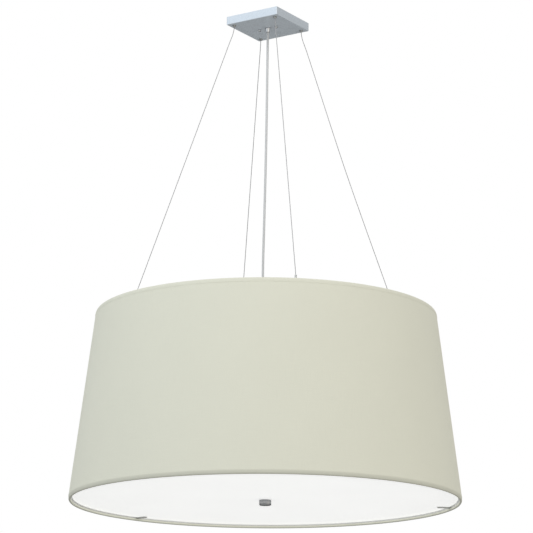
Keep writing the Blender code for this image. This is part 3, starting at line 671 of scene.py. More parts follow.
def make_opal_acrylic(colour):
    """White translucent sheet. Its lower half passes on light from inside the shade, least at its edge."""
    finish = Finish("opal_acrylic", colour, 0.30, Emission_Strength=settings().colours.diffuser_painted_emission)
    places = finish.places()
    cloud = finish.speckle(places, size=0.15, detail=2.0)
    radius = finish.add("VectorMath", {"operation": "LENGTH"}, {0: finish.places((1.0, 1.0, 0.0))}, "Value")
    fade = finish.ramp(radius / 0.40, (0.0, 1.0), (0.75, 0.99), (1.0, 0.92))
    low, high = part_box("diffuser")
    lower_half = 1 - finish.axis_of(places, "Z").above((low.z + high.z) / 2)
    finish.feed("Base Color", finish.shaded(0.99 + cloud * 0.02))
    # Painted light given off by the lower half alone, fading towards the edge
    painted_emission = finish.add("VectorMath", {"operation": "SCALE"}, {0: fade, "Scale": lower_half})
    finish.feed("Emission Color", painted_emission)
    finish.feed("Roughness", 0.26 + cloud * 0.08)
    finish.relief(finish.speckle(places, size=0.02, detail=1.0), distance=0.00001)
    return finish.material


finish_makers = {
    "silver_paint": make_silver_paint,
    "chrome": make_chrome,
    "zinc_plate": make_zinc_plate,
    "linen": make_linen,
    "opal_acrylic": make_opal_acrylic,
}


def finish_of(slot):
    """The material of one of the record's slots, made when it is first asked for."""
    made = bpy.data.materials.get(f"{slot}_finish")
    if made:
        return made
    colour = tuple(getattr(settings().colours, slot))
    if slot in finish_makers:
        return finish_makers[slot](colour)
    return layered(slot, colour, **layered_finishes[slot])


def round_place(node):
    """The middle, radius, bottom and top of a round upright CAD node."""
    low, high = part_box(node)
    return Vector(((low.x + high.x) / 2, (low.y + high.y) / 2, 0)), (high.x - low.x) / 2, low.z, high.z


def eased(corners, closed):
    """An outline whose corners are rounded by short curves, each starting as far back as its third number."""
    most_of_side = 0.49
    outline = []
    count = len(corners)
    for at, corner in enumerate(corners):
        spot = Vector(corner[:2])
        ease = corner[2] if len(corner) > 2 else 0
        if ease == 0 or not closed and at in (0, count - 1):
            outline.append(spot)
            continue
        before = Vector(corners[at - 1][:2]) - spot
        after = Vector(corners[(at + 1) % count][:2]) - spot
        start = spot + before.normalized() * min(ease, before.length * most_of_side)
        end = spot + after.normalized() * min(ease, after.length * most_of_side)
        for step in range(ease_steps + 1):
            s = step / ease_steps
            outline.append(start * (1 - s) ** 2 + spot * 2 * s * (1 - s) + end * s**2)
    return outline


def linked(mesh, spots, closed=True):
    """The new edges from each corner to the next, and back to the first where the outline goes round."""
    following = spots[1:] + spots[:1] if closed else spots[1:]
    return [mesh.edges.new(pair) for pair in zip(spots, following)]


Thread = namedtuple("Thread", "radius low high pitch depth")


def thread_rungs(thread):
    """Corners up the side of a turned piece, close enough together to cut a thread there."""
    tall = thread.high - thread.low
    count = max(2, round(tall / thread.pitch * rings_per_thread_turn))
    return [(thread.radius, thread.low + tall * step / count) for step in range(count + 1)]


def cut_thread(mesh, thread):
    """Cuts a thread into a turned piece's side, fading out at both of its ends."""
    least_runout = 0.02
    for corner in mesh.verts:
        reach = hypot(corner.co.x, corner.co.y)
        up, down = corner.co.z - thread.low, thread.high - corner.co.z
        if abs(reach - thread.radius) > hair or min(up, down) < -hair:
            continue
        runout = max(0, min(1, up / thread.pitch + least_runout, down / thread.pitch + least_runout))
        phase = (atan2(corner.co.y, corner.co.x) / tau + corner.co.z / thread.pitch) % 1
        closer = 1 - thread.depth * runout * (1 - abs(2 * phase - 1)) / reach
        corner.co.x *= closer
        corner.co.y *= closer


def groove(radius, low, high, depth, slope, ease):
    """Corners of a line round a turned piece, between two heights, with sloping sides."""
    return [
        (radius, low, ease), (radius - depth, low + slope, ease), (radius - depth, high - slope, ease),
        (radius, high, ease),
    ]


def turned(corners, segments=round_segments):
    """A bmesh turned about Z from a half section, which either starts and ends on the axis or goes round."""
    threads = []
    outline = []
    for corner in corners:
        if isinstance(corner, Thread):
            threads.append(corner)
            outline += thread_rungs(corner)
        else:
            outline.append(corner)
    closed = outline[0][0] > 0
    mesh = bmesh.new()
    spots = [mesh.verts.new((spot.x, 0, spot.y)) for spot in eased(outline, closed)]
    edges = linked(mesh, spots, closed)
    bmesh.ops.spin(
        mesh, geom=spots + edges, cent=(0, 0, 0), axis=(0, 0, 1), angle=tau, steps=segments, use_merge=True
    )
    bmesh.ops.remove_doubles(mesh, verts=mesh.verts, dist=merge_distance)
    bmesh.ops.recalc_face_normals(mesh, faces=mesh.faces)
    for thread in threads:
        cut_thread(mesh, thread)
    return mesh


def rotation(angle, axis="Z"):
    return Matrix.Rotation(angle, 4, axis)


def moved(mesh, place, turning=rotation(0)):
    """The same bmesh, turned and then moved."""
    bmesh.ops.transform(mesh, matrix=Matrix.Translation(place) @ turning, verts=mesh.verts)
    return mesh


def circle(middle, radius, count=small_segments):
    """Points round a circle in the XY plane."""
    angles = [tau * step / count for step in range(count)]
    return [(middle[0] + radius * cos(angle), middle[1] + radius * sin(angle)) for angle in angles]


def rounded_rectangle(low, high, radius):
    """Points round a rectangle in the XY plane, with its corners rounded."""
    points = []
    corners = ((high[0], high[1]), (low[0], high[1]), (low[0], low[1]), (high[0], low[1]))
    for number, (x, y) in enumerate(corners):
        middle_x = x - radius if x == high[0] else x + radius
        middle_y = y - radius if y == high[1] else y + radius
        for step in range(corner_steps + 1):
            angle = (number + step / corner_steps) * pi / 2
            points.append((middle_x + radius * cos(angle), middle_y + radius * sin(angle)))
    return points


def flat_sheet(outline, holes, height):
    """A flat bmesh sheet at a height, facing down, with holes in it, and the edges of its outline."""
    mesh = bmesh.new()
    loops = [linked(mesh, [mesh.verts.new((x, y, height)) for x, y in loop]) for loop in (outline, *holes)]
    bmesh.ops.triangle_fill(
        mesh, edges=[edge for loop in loops for edge in loop], use_beauty=True, use_dissolve=False,
        normal=(0, 0, -1),
    )
    for face in mesh.faces:
        face.normal_update()
        if face.normal.z > 0:
            face.normal_flip()
    return mesh, loops[0]


def raised_corners(extruded):
    return [item for item in extruded["geom"] if isinstance(item, bmesh.types.BMVert)]


def thick_plate(outline, holes, bottom, top):
    """A closed bmesh plate between two heights, with holes through it."""
    mesh, _ = flat_sheet(outline, holes, bottom)
    spots = raised_corners(bmesh.ops.extrude_face_region(mesh, geom=mesh.faces[:]))
    bmesh.ops.translate(mesh, verts=spots, vec=(0, 0, top - bottom))
    bmesh.ops.recalc_face_normals(mesh, faces=mesh.faces)
    return mesh


def block(low, high):
    """A bmesh box between two corners."""
    mesh = bmesh.new()
    size = Vector(high) - Vector(low)
    middle = (Vector(high) + Vector(low)) / 2
    bmesh.ops.create_cube(mesh, size=1, matrix=Matrix.Translation(middle) @ Matrix.Diagonal((*size, 1)))
    return mesh


def prism(sides, radius, height, middle):
    """An upright bmesh prism whose own middle is at a height."""
    mesh = bmesh.new()
    bmesh.ops.create_cone(
        mesh, cap_ends=True, segments=sides, radius1=radius, radius2=radius, depth=height,
        matrix=Matrix.Translation((0, 0, middle)),
    )
    return mesh


def combined(mesh, other, operation="DIFFERENCE"):
    """One bmesh cut or bounded by another. Both are used up."""
    pair = []
    for shape in (mesh, other):
        data = bpy.data.meshes.new("shape")
        shape.to_mesh(data)
        shape.free()
        pair.append(bpy.data.objects.new("shape", data))
        bpy.context.scene.collection.objects.link(pair[-1])
    modifier = pair[0].modifiers.new("cut", "BOOLEAN")
    modifier.operation = operation
    modifier.solver = "EXACT"
    modifier.object = pair[1]
    made = bmesh.new()
    made.from_object(pair[0], bpy.context.evaluated_depsgraph_get())
    for thing in pair:
        bpy.data.meshes.remove(thing.data)
    return made


def hexagon_nut(across_flats, bottom, top, bore, chamfer):
    """A hexagon nut: a turned blank with chamfered faces, bounded by a six-sided bar."""
    corner = across_flats / 2 / cos(pi / 6)
    blank = turned([
        (bore + chamfer, bottom), (across_flats / 2 - hair, bottom), (corner + hair, bottom + chamfer),
        (corner + hair, top - chamfer), (across_flats / 2 - hair, top), (bore + chamfer, top),
        (bore, top - chamfer), (bore, bottom + chamfer),
    ])
    return combined(blank, prism(6, corner, top - bottom + chamfer, (top + bottom) / 2), "INTERSECT")


def smooth_curve(route, steps):
    """Points on a smooth curve through a route's own points, with a number of steps from each to the next."""
    route = [Vector(point) for point in route]
    route = [2 * route[0] - route[1], *route, 2 * route[-1] - route[-2]]
    points = []
    for before, start, end, after in zip(route, route[1:], route[2:], route[3:]):
        first, middle, last = (hop.length ** 0.5 for hop in (start - before, end - start, after - end))
        leave = end - start + middle * ((start - before) / first - (end - before) / (first + middle))
        arrive = end - start + middle * ((after - end) / last - (after - start) / (middle + last))
        for step in range(steps):
            s = step / steps
            points.append(
                (2 * s**3 - 3 * s**2 + 1) * start + (s**3 - 2 * s**2 + s) * leave
                + (3 * s**2 - 2 * s**3) * end + (s**3 - s**2) * arrive
            )
    return [*points, route[-2]]


def evenly(points, spacing):
    """Points at even distances along a run of close points, and the whole length of the run."""
    travelled = [0.0]
    for start, end in zip(points, points[1:]):
        travelled.append(travelled[-1] + (end - start).length)
    count = round(travelled[-1] / spacing)
    even = [points[0]]
    at = 0
    for step in range(1, count):
        target = travelled[-1] * step / count
        while travelled[at + 1] < target:
            at += 1
        reached = (target - travelled[at]) / (travelled[at + 1] - travelled[at])
        even.append(points[at].lerp(points[at + 1], reached))
    return [*even, points[-1]], travelled[-1]


def twisted_tube(reaches, steps, total, lay):
    """An upright tube, swept in a helix in even steps from Z = 0 up. Its outline is a run of distances from
    its middle line, at even angles."""
    mesh = bmesh.new()
    angles = [tau * step / len(reaches) for step in range(len(reaches))]
    spots = [
        mesh.verts.new((reach * cos(angle), reach * sin(angle), 0)) for reach, angle in zip(reaches, angles)
    ]
    bmesh.ops.spin(
        mesh, geom=spots + linked(mesh, spots), cent=(0, 0, 0), axis=(0, 0, 1), dvec=(0, 0, total / steps),
        angle=tau * total / lay, steps=steps, use_merge=False,
    )
    rims = [edge for edge in mesh.edges if edge.is_boundary]
    bmesh.ops.holes_fill(mesh, edges=rims, sides=0)
    bmesh.ops.recalc_face_normals(mesh, faces=mesh.faces)
    return mesh


def bend_along(mesh, points, total):
    """Moves the rings of an upright tube, which start at Z = 0, onto even points without twisting them."""
    steps = len(points) - 1
    directions = [(end - start).normalized() for start, end in zip(points, points[1:])]
    directions.append(directions[-1])
    side = directions[0].cross((0, 0, 1))
    side = side.normalized() if side.length > hair else Vector((1, 0, 0))
    places = []
    for point, before, after in zip(points, [directions[0], *directions], directions):
        tangent = (before + after).normalized()
        side = (side - tangent * side.dot(tangent)).normalized()
        places.append((point, side, tangent.cross(side)))
    for corner in mesh.verts:
        point, side, across = places[round(corner.co.z / total * steps)]
        corner.co = point + side * corner.co.x + across * corner.co.y
    return mesh


def add_piece(name, mesh, slot, body="fixture", nodes=(), flat_faces=True, rim=0.0):
    """Makes a bmesh a finished piece, which rides on a body and stands for CAD nodes."""
    bmesh.ops.remove_doubles(mesh, verts=mesh.verts, dist=merge_distance)
    data = bpy.data.meshes.new(name)
    mesh.to_mesh(data)
    mesh.free()
    data.materials.clear()
    data.materials.append(finish_of(slot))
    data.shade_smooth()
    data.set_sharp_from_angle(angle=smooth_below_angle)
    piece = bpy.data.objects.new(name, data)
    bpy.context.scene.collection.objects.link(piece)
    if rim:
        rounding = piece.modifiers.new("rounded rims", "BEVEL")
        rounding.width = rim
        rounding.segments = rim_segments
        rounding.limit_method = "ANGLE"
    if flat_faces:
        flatten(piece)
    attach(piece, body)
    if nodes:
        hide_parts(*nodes)
    return piece


def flatten(piece):
    """Keeps a piece's flat faces flat beside its rounded edges."""
    flat = piece.modifiers.new("flat faces", "WEIGHTED_NORMAL")
    flat.keep_sharp = True


def add_finished(node, mesh, slot, body="fixture", **others):
    """Makes a bmesh the finished piece of one CAD node."""
    return add_piece(f"{node}_finished", mesh, slot, body, (node,), **others)


def screw_holes(sizes):
    """The holes that the two canopy screws pass."""
    middles = [round_place(f"canopy_screw_{number}")[0] for number in both]
    return [circle(middle, sizes.screw_shank + hair) for middle in middles]


def make_canopy(sizes):
    """The square tray: a flat sheet with holes, its sides folded up and its edges rounded."""
    half = canopy_half_side
    corners = [round_place(f"wire_gripper_{number}")[0] for number in all_four]
    holes = [circle(corner, sizes.gripper_thread + hair) for corner in corners]
    holes += [circle((0, 0), sizes.grip_thread + hair), *screw_holes(sizes)]
    outline = rounded_rectangle((-half, -half), (half, half), sizes.canopy_corner)
    mesh, rim = flat_sheet(outline, holes, canopy_bottom)
    spots = raised_corners(bmesh.ops.extrude_edge_only(mesh, edges=rim))
    bmesh.ops.translate(mesh, verts=spots, vec=(0, 0, -canopy_bottom))
    folded = [edge for edge in rim if edge.is_valid]
    bmesh.ops.bevel(
        mesh, geom=folded, offset=sizes.canopy_edge, offset_type="OFFSET", segments=fold_segments,
        profile=0.5, affect="EDGES", material=-1,
    )
    bmesh.ops.recalc_face_normals(mesh, faces=mesh.faces)
    lowest = min(mesh.faces, key=lambda face: face.calc_center_median().z)
    if lowest.normal.z > 0:
        bmesh.ops.reverse_faces(mesh, faces=mesh.faces)
    tray = add_finished("canopy", mesh, "silver_paint", flat_faces=False)
    wall = tray.modifiers.new("sheet", "SOLIDIFY")
    wall.thickness = sizes.canopy_wall
    wall.offset = -1
    wall.use_even_offset = True
    flatten(tray)


def make_ceiling_bar(sizes):
    """The bar behind the canopy, with a hole for each screw and for the cord, and its two slots."""
    low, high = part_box("ceiling_bar")
    outline = rounded_rectangle(low.xy, high.xy, sizes.bar_corner)
    ground = circle(round_place("ground_screw")[0], sizes.ground_shank + hair)
    holes = [circle((0, 0), sizes.bar_hole), *screw_holes(sizes), ground]
    far = high.x - sizes.bar_slot_margin
    near = far - sizes.bar_slot_length
    half = sizes.bar_slot_width / 2
    slot_end_share = 0.98
    for start, end in ((near, far), (-far, -near)):
        holes.append(rounded_rectangle((start, -half), (end, half), half * slot_end_share))
    plate = thick_plate(outline, holes, low.z, high.z)
    add_finished("ceiling_bar", plate, "zinc_plate", rim=crisp)


def slotted_screw(node, shank, slot, pitch, thread_depth, head_share, dome):
    """A turned screw with its head down, a rounded crown and a straight slot across it."""
    flat_share, slot_reach_share, slot_depth_share = 0.55, 1.2, 0.9
    middle, radius, bottom, top = round_place(node)
    head_top = bottom + (top - bottom) * head_share
    screw = turned([
        (0, bottom), (radius * flat_share, bottom, dome), (radius, bottom + dome, dome),
        (radius, head_top, hair), (shank, head_top, hair),
        Thread(shank, head_top + hair, top - hair, pitch, thread_depth), (shank - hair, top), (0, top),
    ])
    reach = radius * slot_reach_share
    cutter = block((-reach, -slot / 2, bottom - hair), (reach, slot / 2, bottom + dome * slot_depth_share))
    return moved(combined(screw, cutter), middle)


def make_screws(sizes):
    """The two canopy screws, which turn, and the ground screw in the bar."""
    ground_share, ground_head_share = 0.7, 0.488
    low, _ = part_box("canopy_screw_1")
    head_share = (canopy_bottom - low.z) / -low.z
    pitch, depth = sizes.thread_pitch, sizes.thread_depth
    for number in both:
        node = f"canopy_screw_{number}"
        screw = slotted_screw(
            node, sizes.screw_shank, sizes.screw_slot, pitch, depth, head_share, sizes.screw_dome
        )
        add_finished(node, screw, "chrome", f"cap_screw_{number}")
    ground = slotted_screw(
        "ground_screw", sizes.ground_shank, sizes.screw_slot, pitch * ground_share, depth * ground_share,
        ground_head_share, mild,
    )
    add_finished("ground_screw", ground, "ground_green")


def make_cord_grip(sizes):
    """The cone that the power cord leaves the canopy by, its thread and its lock nut."""
    neck_share = 0.93
    cord = settings().suspension.cord_radius + hair
    _, radius, bottom, top = round_place("cord_grip")
    flange = seat - sizes.grip_flange
    thread = sizes.grip_thread
    mesh = turned([
        (cord, bottom, fine), (sizes.grip_tip, bottom, soft), (radius * neck_share, flange - soft, wide),
        (radius, flange, crisp), (radius, seat, crisp), (thread, seat),
        Thread(thread, seat + hair, top - hair, sizes.thread_pitch, sizes.thread_depth),
        (thread - hair, top), (cord, top),
    ])
    add_finished("cord_grip", mesh, "chrome")
    add_nut("cord_grip_nut", thread + hair)


def add_nut(node, bore):
    """The finished hexagon nut of a CAD node, across the same flats."""
    middle, radius, bottom, top = round_place(node)
    nut = hexagon_nut(radius * 2 * cos(pi / 6), bottom, top, bore, settings().metalwork.nut_chamfer)
    add_finished(node, moved(nut, middle), "zinc_plate")


def make_grippers(sizes):
    """At each corner of the canopy: a gripper with its thread, its lock nut, and its release plunger."""
    wire = settings().suspension.wire_radius + hair
    thread = sizes.gripper_thread
    for number in all_four:
        middle, plunger, mouth, plunger_top = round_place(f"gripper_plunger_{number}")
        _, radius, bottom, top = round_place(f"wire_gripper_{number}")
        bore = plunger + hair
        floor = bottom + sizes.gripper_bore_depth
        body = turned([
            (bore, bottom, crisp), (radius, bottom, slight), (radius, seat, hair), (thread, seat),
            Thread(thread, seat + hair, top - hair, sizes.thread_pitch, sizes.thread_depth),
            (thread - hair, top), (wire, top, crisp), (wire, floor), (bore, floor),
        ], small_segments)
        add_finished(f"wire_gripper_{number}", moved(body, middle), "zinc_plate")
        add_nut(f"gripper_nut_{number}", thread + hair)
        tube = turned([
            (sizes.plunger_mouth, mouth, crisp), (plunger, mouth, slight), (plunger, plunger_top, crisp),
            (wire, plunger_top), (wire, mouth + sizes.plunger_mouth_depth, fine),
        ], small_segments)
        add_finished(f"gripper_plunger_{number}", moved(tube, middle), "zinc_plate", f"plunger_{number}")


def wire_route(number):
    """A wire's own points: down through its gripper, slanting out, and down into its anchor."""
    sizes = settings().suspension
    upper, _, mouth_height, _ = round_place(f"gripper_plunger_{number}")
    lower, _, _, socket_height = round_place(f"wire_anchor_{number}")
    down = Vector((0, 0, -1))
    mouth = upper - down * mouth_height
    socket = lower - down * socket_height
    leave = mouth + down * sizes.wire_bend / 2
    arrive = socket - down * sizes.wire_bend / 2
    slant = (arrive - leave).normalized()
    sideways = slant.cross(down.cross(upper.normalized())).normalized()
    sag = wire_sag_shares[number - 1] * (arrive - leave).length
    return [
        upper + down * sizes.wire_tail,
        mouth - down * sizes.wire_guide,
        mouth,
        leave + slant * sizes.wire_bend / 2,
        leave + slant * sizes.wire_settle,
        (leave + arrive) / 2 + sideways * sag,
        arrive - slant * sizes.wire_settle,
        arrive - slant * sizes.wire_bend / 2,
        socket,
        socket + down * sizes.wire_guide,
        socket + down * sizes.anchor_depth,
    ]


def make_wires(sizes):
    """The four wire ropes, each of six strands laid round a seventh, and the ferrule above each anchor."""
    reaches = [sizes.wire_radius * reach for reach in strand_outline_shares * strand_count]
    straight = None
    sunk = round(sizes.anchor_depth / sizes.wire_step)
    for number in all_four:
        points, total = evenly(smooth_curve(wire_route(number), route_steps), sizes.wire_step)
        straight = straight or twisted_tube(reaches, len(points) - 1, total, sizes.wire_lay)
        mesh = bend_along(straight.copy(), points, total)
        wire = add_finished(f"suspension_wire_{number}", mesh, "wire_steel", flat_faces=False)
        ferrule = make_ferrule(sizes, number, points[-sunk - len(ferrule_crimps):-sunk])
        2 * sizes.wire_radius
    straight.free()


def make_ferrule(sizes, number, points):
    """The ferrule crimped on a wire just above its anchor. It follows the wire's points from the top down."""
    step = (points[-1] - points[0]).length / (len(points) - 1)
    heights = [step * at for at in range(len(points))]
    outline = [
        (sizes.ferrule_radius - sizes.ferrule_crimp * pressed, height)
        for pressed, height in zip(ferrule_crimps, heights)
    ]
    inner = [(sizes.wire_radius + hair, height) for height in heights]
    mesh = bend_along(turned(outline + inner[::-1], small_segments), points, heights[-1])
    return add_piece(f"wire_ferrule_{number}", mesh, "zinc_plate", flat_faces=False)


def make_power_cord(sizes):
    """The round power cord, whose three laid leads show faintly through its jacket."""
    angles = [tau * step / small_segments for step in range(small_segments)]
    reaches = [sizes.cord_radius - sizes.cord_relief * (1 - cos(3 * angle)) / 2 for angle in angles]
    route = [(side * cos(cord_azimuth), side * sin(cord_azimuth), height) for side, height in cord_route]
    points, total = evenly(smooth_curve(route, route_steps), sizes.cord_step)
    mesh = bend_along(twisted_tube(reaches, len(points) - 1, total, sizes.cord_lay), points, total)
    cord = add_finished("power_cord", mesh, "cord_jacket", flat_faces=False)
    2 * sizes.cord_radius


def shade_radius_at(rise):
    """The radius of the shade's outer face at a height above its bottom edge."""
    sizes = settings().shade
    return sizes.bottom_radius + (sizes.top_radius - sizes.bottom_radius) * rise / shade_rise


def hem_middle(rise):
    """The middle of a hem's wire, as a radius."""
    return shade_radius_at(rise) - settings().shade.hem_centre


def at_hem(points, at_top):
    """Points of a hem, as (radius, rise) pairs, turned upside down for the upper hem."""
    return [(radius, shade_rise - rise if at_top else rise) for radius, rise in points]


def hem_face(sizes, at_top):
    """The tape's outer side round a hem, as (radius, rise) pairs from the hem's inner side to the cone."""
    band = sizes.top_band if at_top else sizes.bottom_band
    middle = hem_middle(shade_rise - sizes.hem_centre if at_top else sizes.hem_centre)
    face = shade_radius_at(shade_rise - band if at_top else band)
    points = [(middle - sizes.hem_centre, sizes.hem_centre + sizes.hem_return)]
    for step in range(hem_arc_steps + 1):
        angle = pi / 2 * step / hem_arc_steps
        points.append((middle - sizes.hem_centre * cos(angle), sizes.hem_centre * (1 - sin(angle))))
    for step in range(1, hem_cone_steps + 1):
        angle = pi / 2 * step / hem_cone_steps
        points.append((middle + (face - middle) * sin(angle), band * (1 - cos(angle))))
    points.append((face - sizes.tape, band + sizes.tape / 2))
    return at_hem(points, at_top)


def hem_back(sizes, at_top):
    """The tape's inner side round a hem's wire, in the same order as its outer side."""
    middle = hem_middle(shade_rise - sizes.hem_centre if at_top else sizes.hem_centre)
    reach = sizes.ring_wire + hair / 2
    points = [(middle - reach, sizes.hem_centre + sizes.hem_return)]
    for step in range(hem_back_steps + 1):
        angle = pi * step / hem_back_steps
        points.append((middle - reach * cos(angle), sizes.hem_centre - reach * sin(angle)))
    inner = shade_radius_at(shade_rise - sizes.hem_centre * 2 if at_top else sizes.hem_centre * 2)
    points.append((inner - sizes.tape - sizes.fabric + hair, sizes.hem_centre * 2))
    return at_hem(points, at_top)


def make_fabric(sizes):
    """The fabric skin, stretched over the rings: one closed sheet with its taped hems, mapped in metres."""
    plain = shade_rise - sizes.top_band - sizes.bottom_band
    rises = [sizes.bottom_band + plain * step / fabric_rows for step in range(1, fabric_rows)]
    panel = [(shade_radius_at(rise) - sizes.tape, rise) for rise in rises]
    back = [(radius - sizes.fabric + hair, rise) for radius, rise in panel]
    outer = hem_face(sizes, False) + panel + hem_face(sizes, True)[::-1]
    inner = hem_back(sizes, False) + back + hem_back(sizes, True)[::-1]
    mesh = turned(outer + inner[::-1], wide_segments)
    for corner in mesh.verts:
        free = min(corner.co.z - sizes.bottom_band, shade_rise - sizes.top_band - corner.co.z)
        edge = min(1, free / sizes.unevenness_margin)
        if edge > 0:
            wander = noise.noise(corner.co / sizes.unevenness_size) * sizes.unevenness * edge
            corner.co.x *= 1 + wander / hypot(corner.co.x, corner.co.y)
            corner.co.y *= 1 + wander / hypot(corner.co.x, corner.co.y)
    map_round(mesh, sizes)
    paint_hem_light_and_shade(mesh, sizes)
    fabric = add_finished("shade_fabric", moved(mesh, (0, 0, shade_bottom)), "linen", flat_faces=False)
    lap = (sizes.tape + sizes.fabric / 2, 0)
    seam = make_seam(sizes, "shade_seam", "linen", lap, sizes.bottom_band, shade_rise - sizes.top_band)
    slant = hypot(shade_rise, sizes.bottom_radius - sizes.top_radius)
    cone_slant = slant * sizes.bottom_radius / (sizes.bottom_radius - sizes.top_radius)
    half_sweep = pi * sizes.bottom_radius / cone_slant
    width = 2 * cone_slant * sin(half_sweep)
    tall = cone_slant - (cone_slant - slant) * cos(half_sweep)
    pi * (sizes.bottom_radius + sizes.top_radius) * slant


def map_round(mesh, sizes):
    """Gives a mesh a map in metres: round it at its middle height from the seam, and up its slant."""
    layer = mesh.loops.layers.uv.new("metres")
    middle_radius = (sizes.bottom_radius + sizes.top_radius) / 2
    for face in mesh.faces:
        centre = face.calc_center_median()
        face_turn = (atan2(centre.y, centre.x) - sizes.seam_azimuth) % tau
        for loop in face.loops:
            spot = loop.vert.co
            spot_turn = (atan2(spot.y, spot.x) - sizes.seam_azimuth) % tau
            if spot_turn - face_turn > pi:
                spot_turn -= tau
            if face_turn - spot_turn > pi:
                spot_turn += tau
            loop[layer].uv = (spot_turn * middle_radius, spot.z)


def paint_hem_light_and_shade(mesh, sizes):
    """Marks how much darker the hems' cloth is: its outer side, doubled and rubbed, and its underside."""
    layer = mesh.verts.layers.float.new("hem_shade")
    for corner in mesh.verts:
        across = (hypot(corner.co.x, corner.co.y) - hem_middle(corner.co.z)) / sizes.hem_centre
        outside = min(1, max(0, across))
        inside = min(1, max(0, -across))
        low_share = max(0, 1 - corner.co.z / sizes.bottom_band)
        high_share = max(0, 1 - (shade_rise - corner.co.z) / sizes.top_band)
        under = max(0, 1 - corner.co.z / sizes.hem_under)
        # Painted shade on the outer side and the underside, and painted light on the inner side
        dark = outside * (low_hem_painted_shade * low_share + high_hem_painted_shade * high_share**2)
        corner[layer] = max(dark, under_hem_painted_shade * under) - inner_hem_painted_light * inside * (1 - under)


def make_seam(sizes, name, slot, insets, low_rise, high_rise):
    """A strip up the back of the shade where a sheet's two ends lap, between two depths under the face."""
    mesh = bmesh.new()
    half = sizes.seam_width / 2
    inner, outer = insets
    profile = ((-half, inner), (half, inner), (half - hair, outer), (-half + hair, outer))
    spots = [
        mesh.verts.new((shade_radius_at(low_rise) - inset, across, low_rise)) for across, inset in profile
    ]
    face = mesh.faces.new(spots)
    lean = shade_radius_at(high_rise) - shade_radius_at(low_rise)
    step = Vector((lean, 0, high_rise - low_rise)) / seam_rows
    for _ in range(seam_rows):
        face = bmesh.ops.extrude_discrete_faces(mesh, faces=[face])["faces"][0]
        bmesh.ops.translate(mesh, verts=face.verts, vec=step)
    mesh.faces.new(spots[::-1])
    bmesh.ops.recalc_face_normals(mesh, faces=mesh.faces)
    moved(mesh, (0, 0, 0), rotation(sizes.seam_azimuth))
    map_round(mesh, sizes)
    return add_piece(name, moved(mesh, (0, 0, shade_bottom)), slot, flat_faces=False)


def make_lining(sizes):
    """The stiff lining inside the fabric, with its own lap, and the wire ring inside each hem."""
    low_rise, high_rise = (corner.z - shade_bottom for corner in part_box("shade_liner"))
    rises = [low_rise + (high_rise - low_rise) * step / lining_rows for step in range(lining_rows + 1)]
    outer = [(shade_radius_at(rise) - sizes.liner_gap, rise) for rise in rises]
    inner = [(radius - sizes.liner, rise) for radius, rise in outer]
    mesh = turned(outer + inner[::-1], wide_segments)
    add_finished("shade_liner", moved(mesh, (0, 0, shade_bottom)), "lining", flat_faces=False)
    lap = (sizes.liner_gap + sizes.liner - hair, sizes.liner_gap + sizes.liner_lap)
    make_seam(sizes, "liner_seam", "lining", lap, low_rise + sizes.liner, high_rise - sizes.spider_clearance)
    for node, rise in (("bottom_ring", sizes.hem_centre), ("top_ring", shade_rise - sizes.hem_centre)):
        mesh = turned(circle((hem_middle(rise), rise), sizes.ring_wire, ring_sides), wide_segments)
        add_finished(node, moved(mesh, (0, 0, shade_bottom)), "frame_white", flat_faces=False)


def make_spider(sizes):
    """The four arms across the top ring with their wire anchors, and the hub plate over their inner ends."""
    half = sizes.arm_width / 2
    outline = rounded_rectangle((sizes.arm_start, -half), (sizes.arm_end, half), sizes.arm_corner)
    for number, azimuth in zip(all_four, wire_azimuths):
        _, _, arm_bottom, arm_top = round_place(f"spider_arm_{number}")
        middle, radius, bottom, top = round_place(f"wire_anchor_{number}")
        hole = circle((middle.length, 0), sizes.anchor_stud + hair)
        arm = moved(thick_plate(outline, [hole], arm_bottom, arm_top), (0, 0, 0), rotation(azimuth))
        add_finished(f"spider_arm_{number}", arm, "frame_white", rim=sizes.arm_edge)
        add_finished(f"wire_anchor_{number}", moved(anchor(sizes, radius, bottom, top), middle), "zinc_plate")

    _, radius, bottom, top = round_place("hub_plate")
    bore = sizes.stem_radius + hair
    plate = turned([(bore, bottom), (radius, bottom, soft), (radius, top, wide), (bore, top, crisp)])
    add_finished("hub_plate", plate, "frame_white")


def anchor(sizes, radius, bottom, top):
    """A wire anchor: a threaded stud, a flange and a barrel with a line round it and a bore for the wire."""
    barrel, stud = sizes.anchor_barrel, sizes.anchor_stud
    flange = bottom + sizes.anchor_stud_length
    flange_top = flange + sizes.anchor_flange
    line_top = top - sizes.anchor_line
    wire = settings().suspension.wire_radius + hair
    return turned([
        (0, bottom), (stud - slight, bottom),
        Thread(stud, bottom + slight, flange - hair, sizes.anchor_pitch, sizes.anchor_thread_depth),
        (stud, flange), (radius, flange, fine), (radius, flange_top, mild), (barrel, flange_top, slight),
        *groove(barrel, line_top - sizes.anchor_line_height, line_top, fine, fine, crisp),
        (barrel, top, mellow), (sizes.anchor_mouth, top, fine), (wire, top - broad, fine),
        (wire, top - sizes.anchor_bore_depth), (0, top - sizes.anchor_bore_depth),
    ], small_segments)


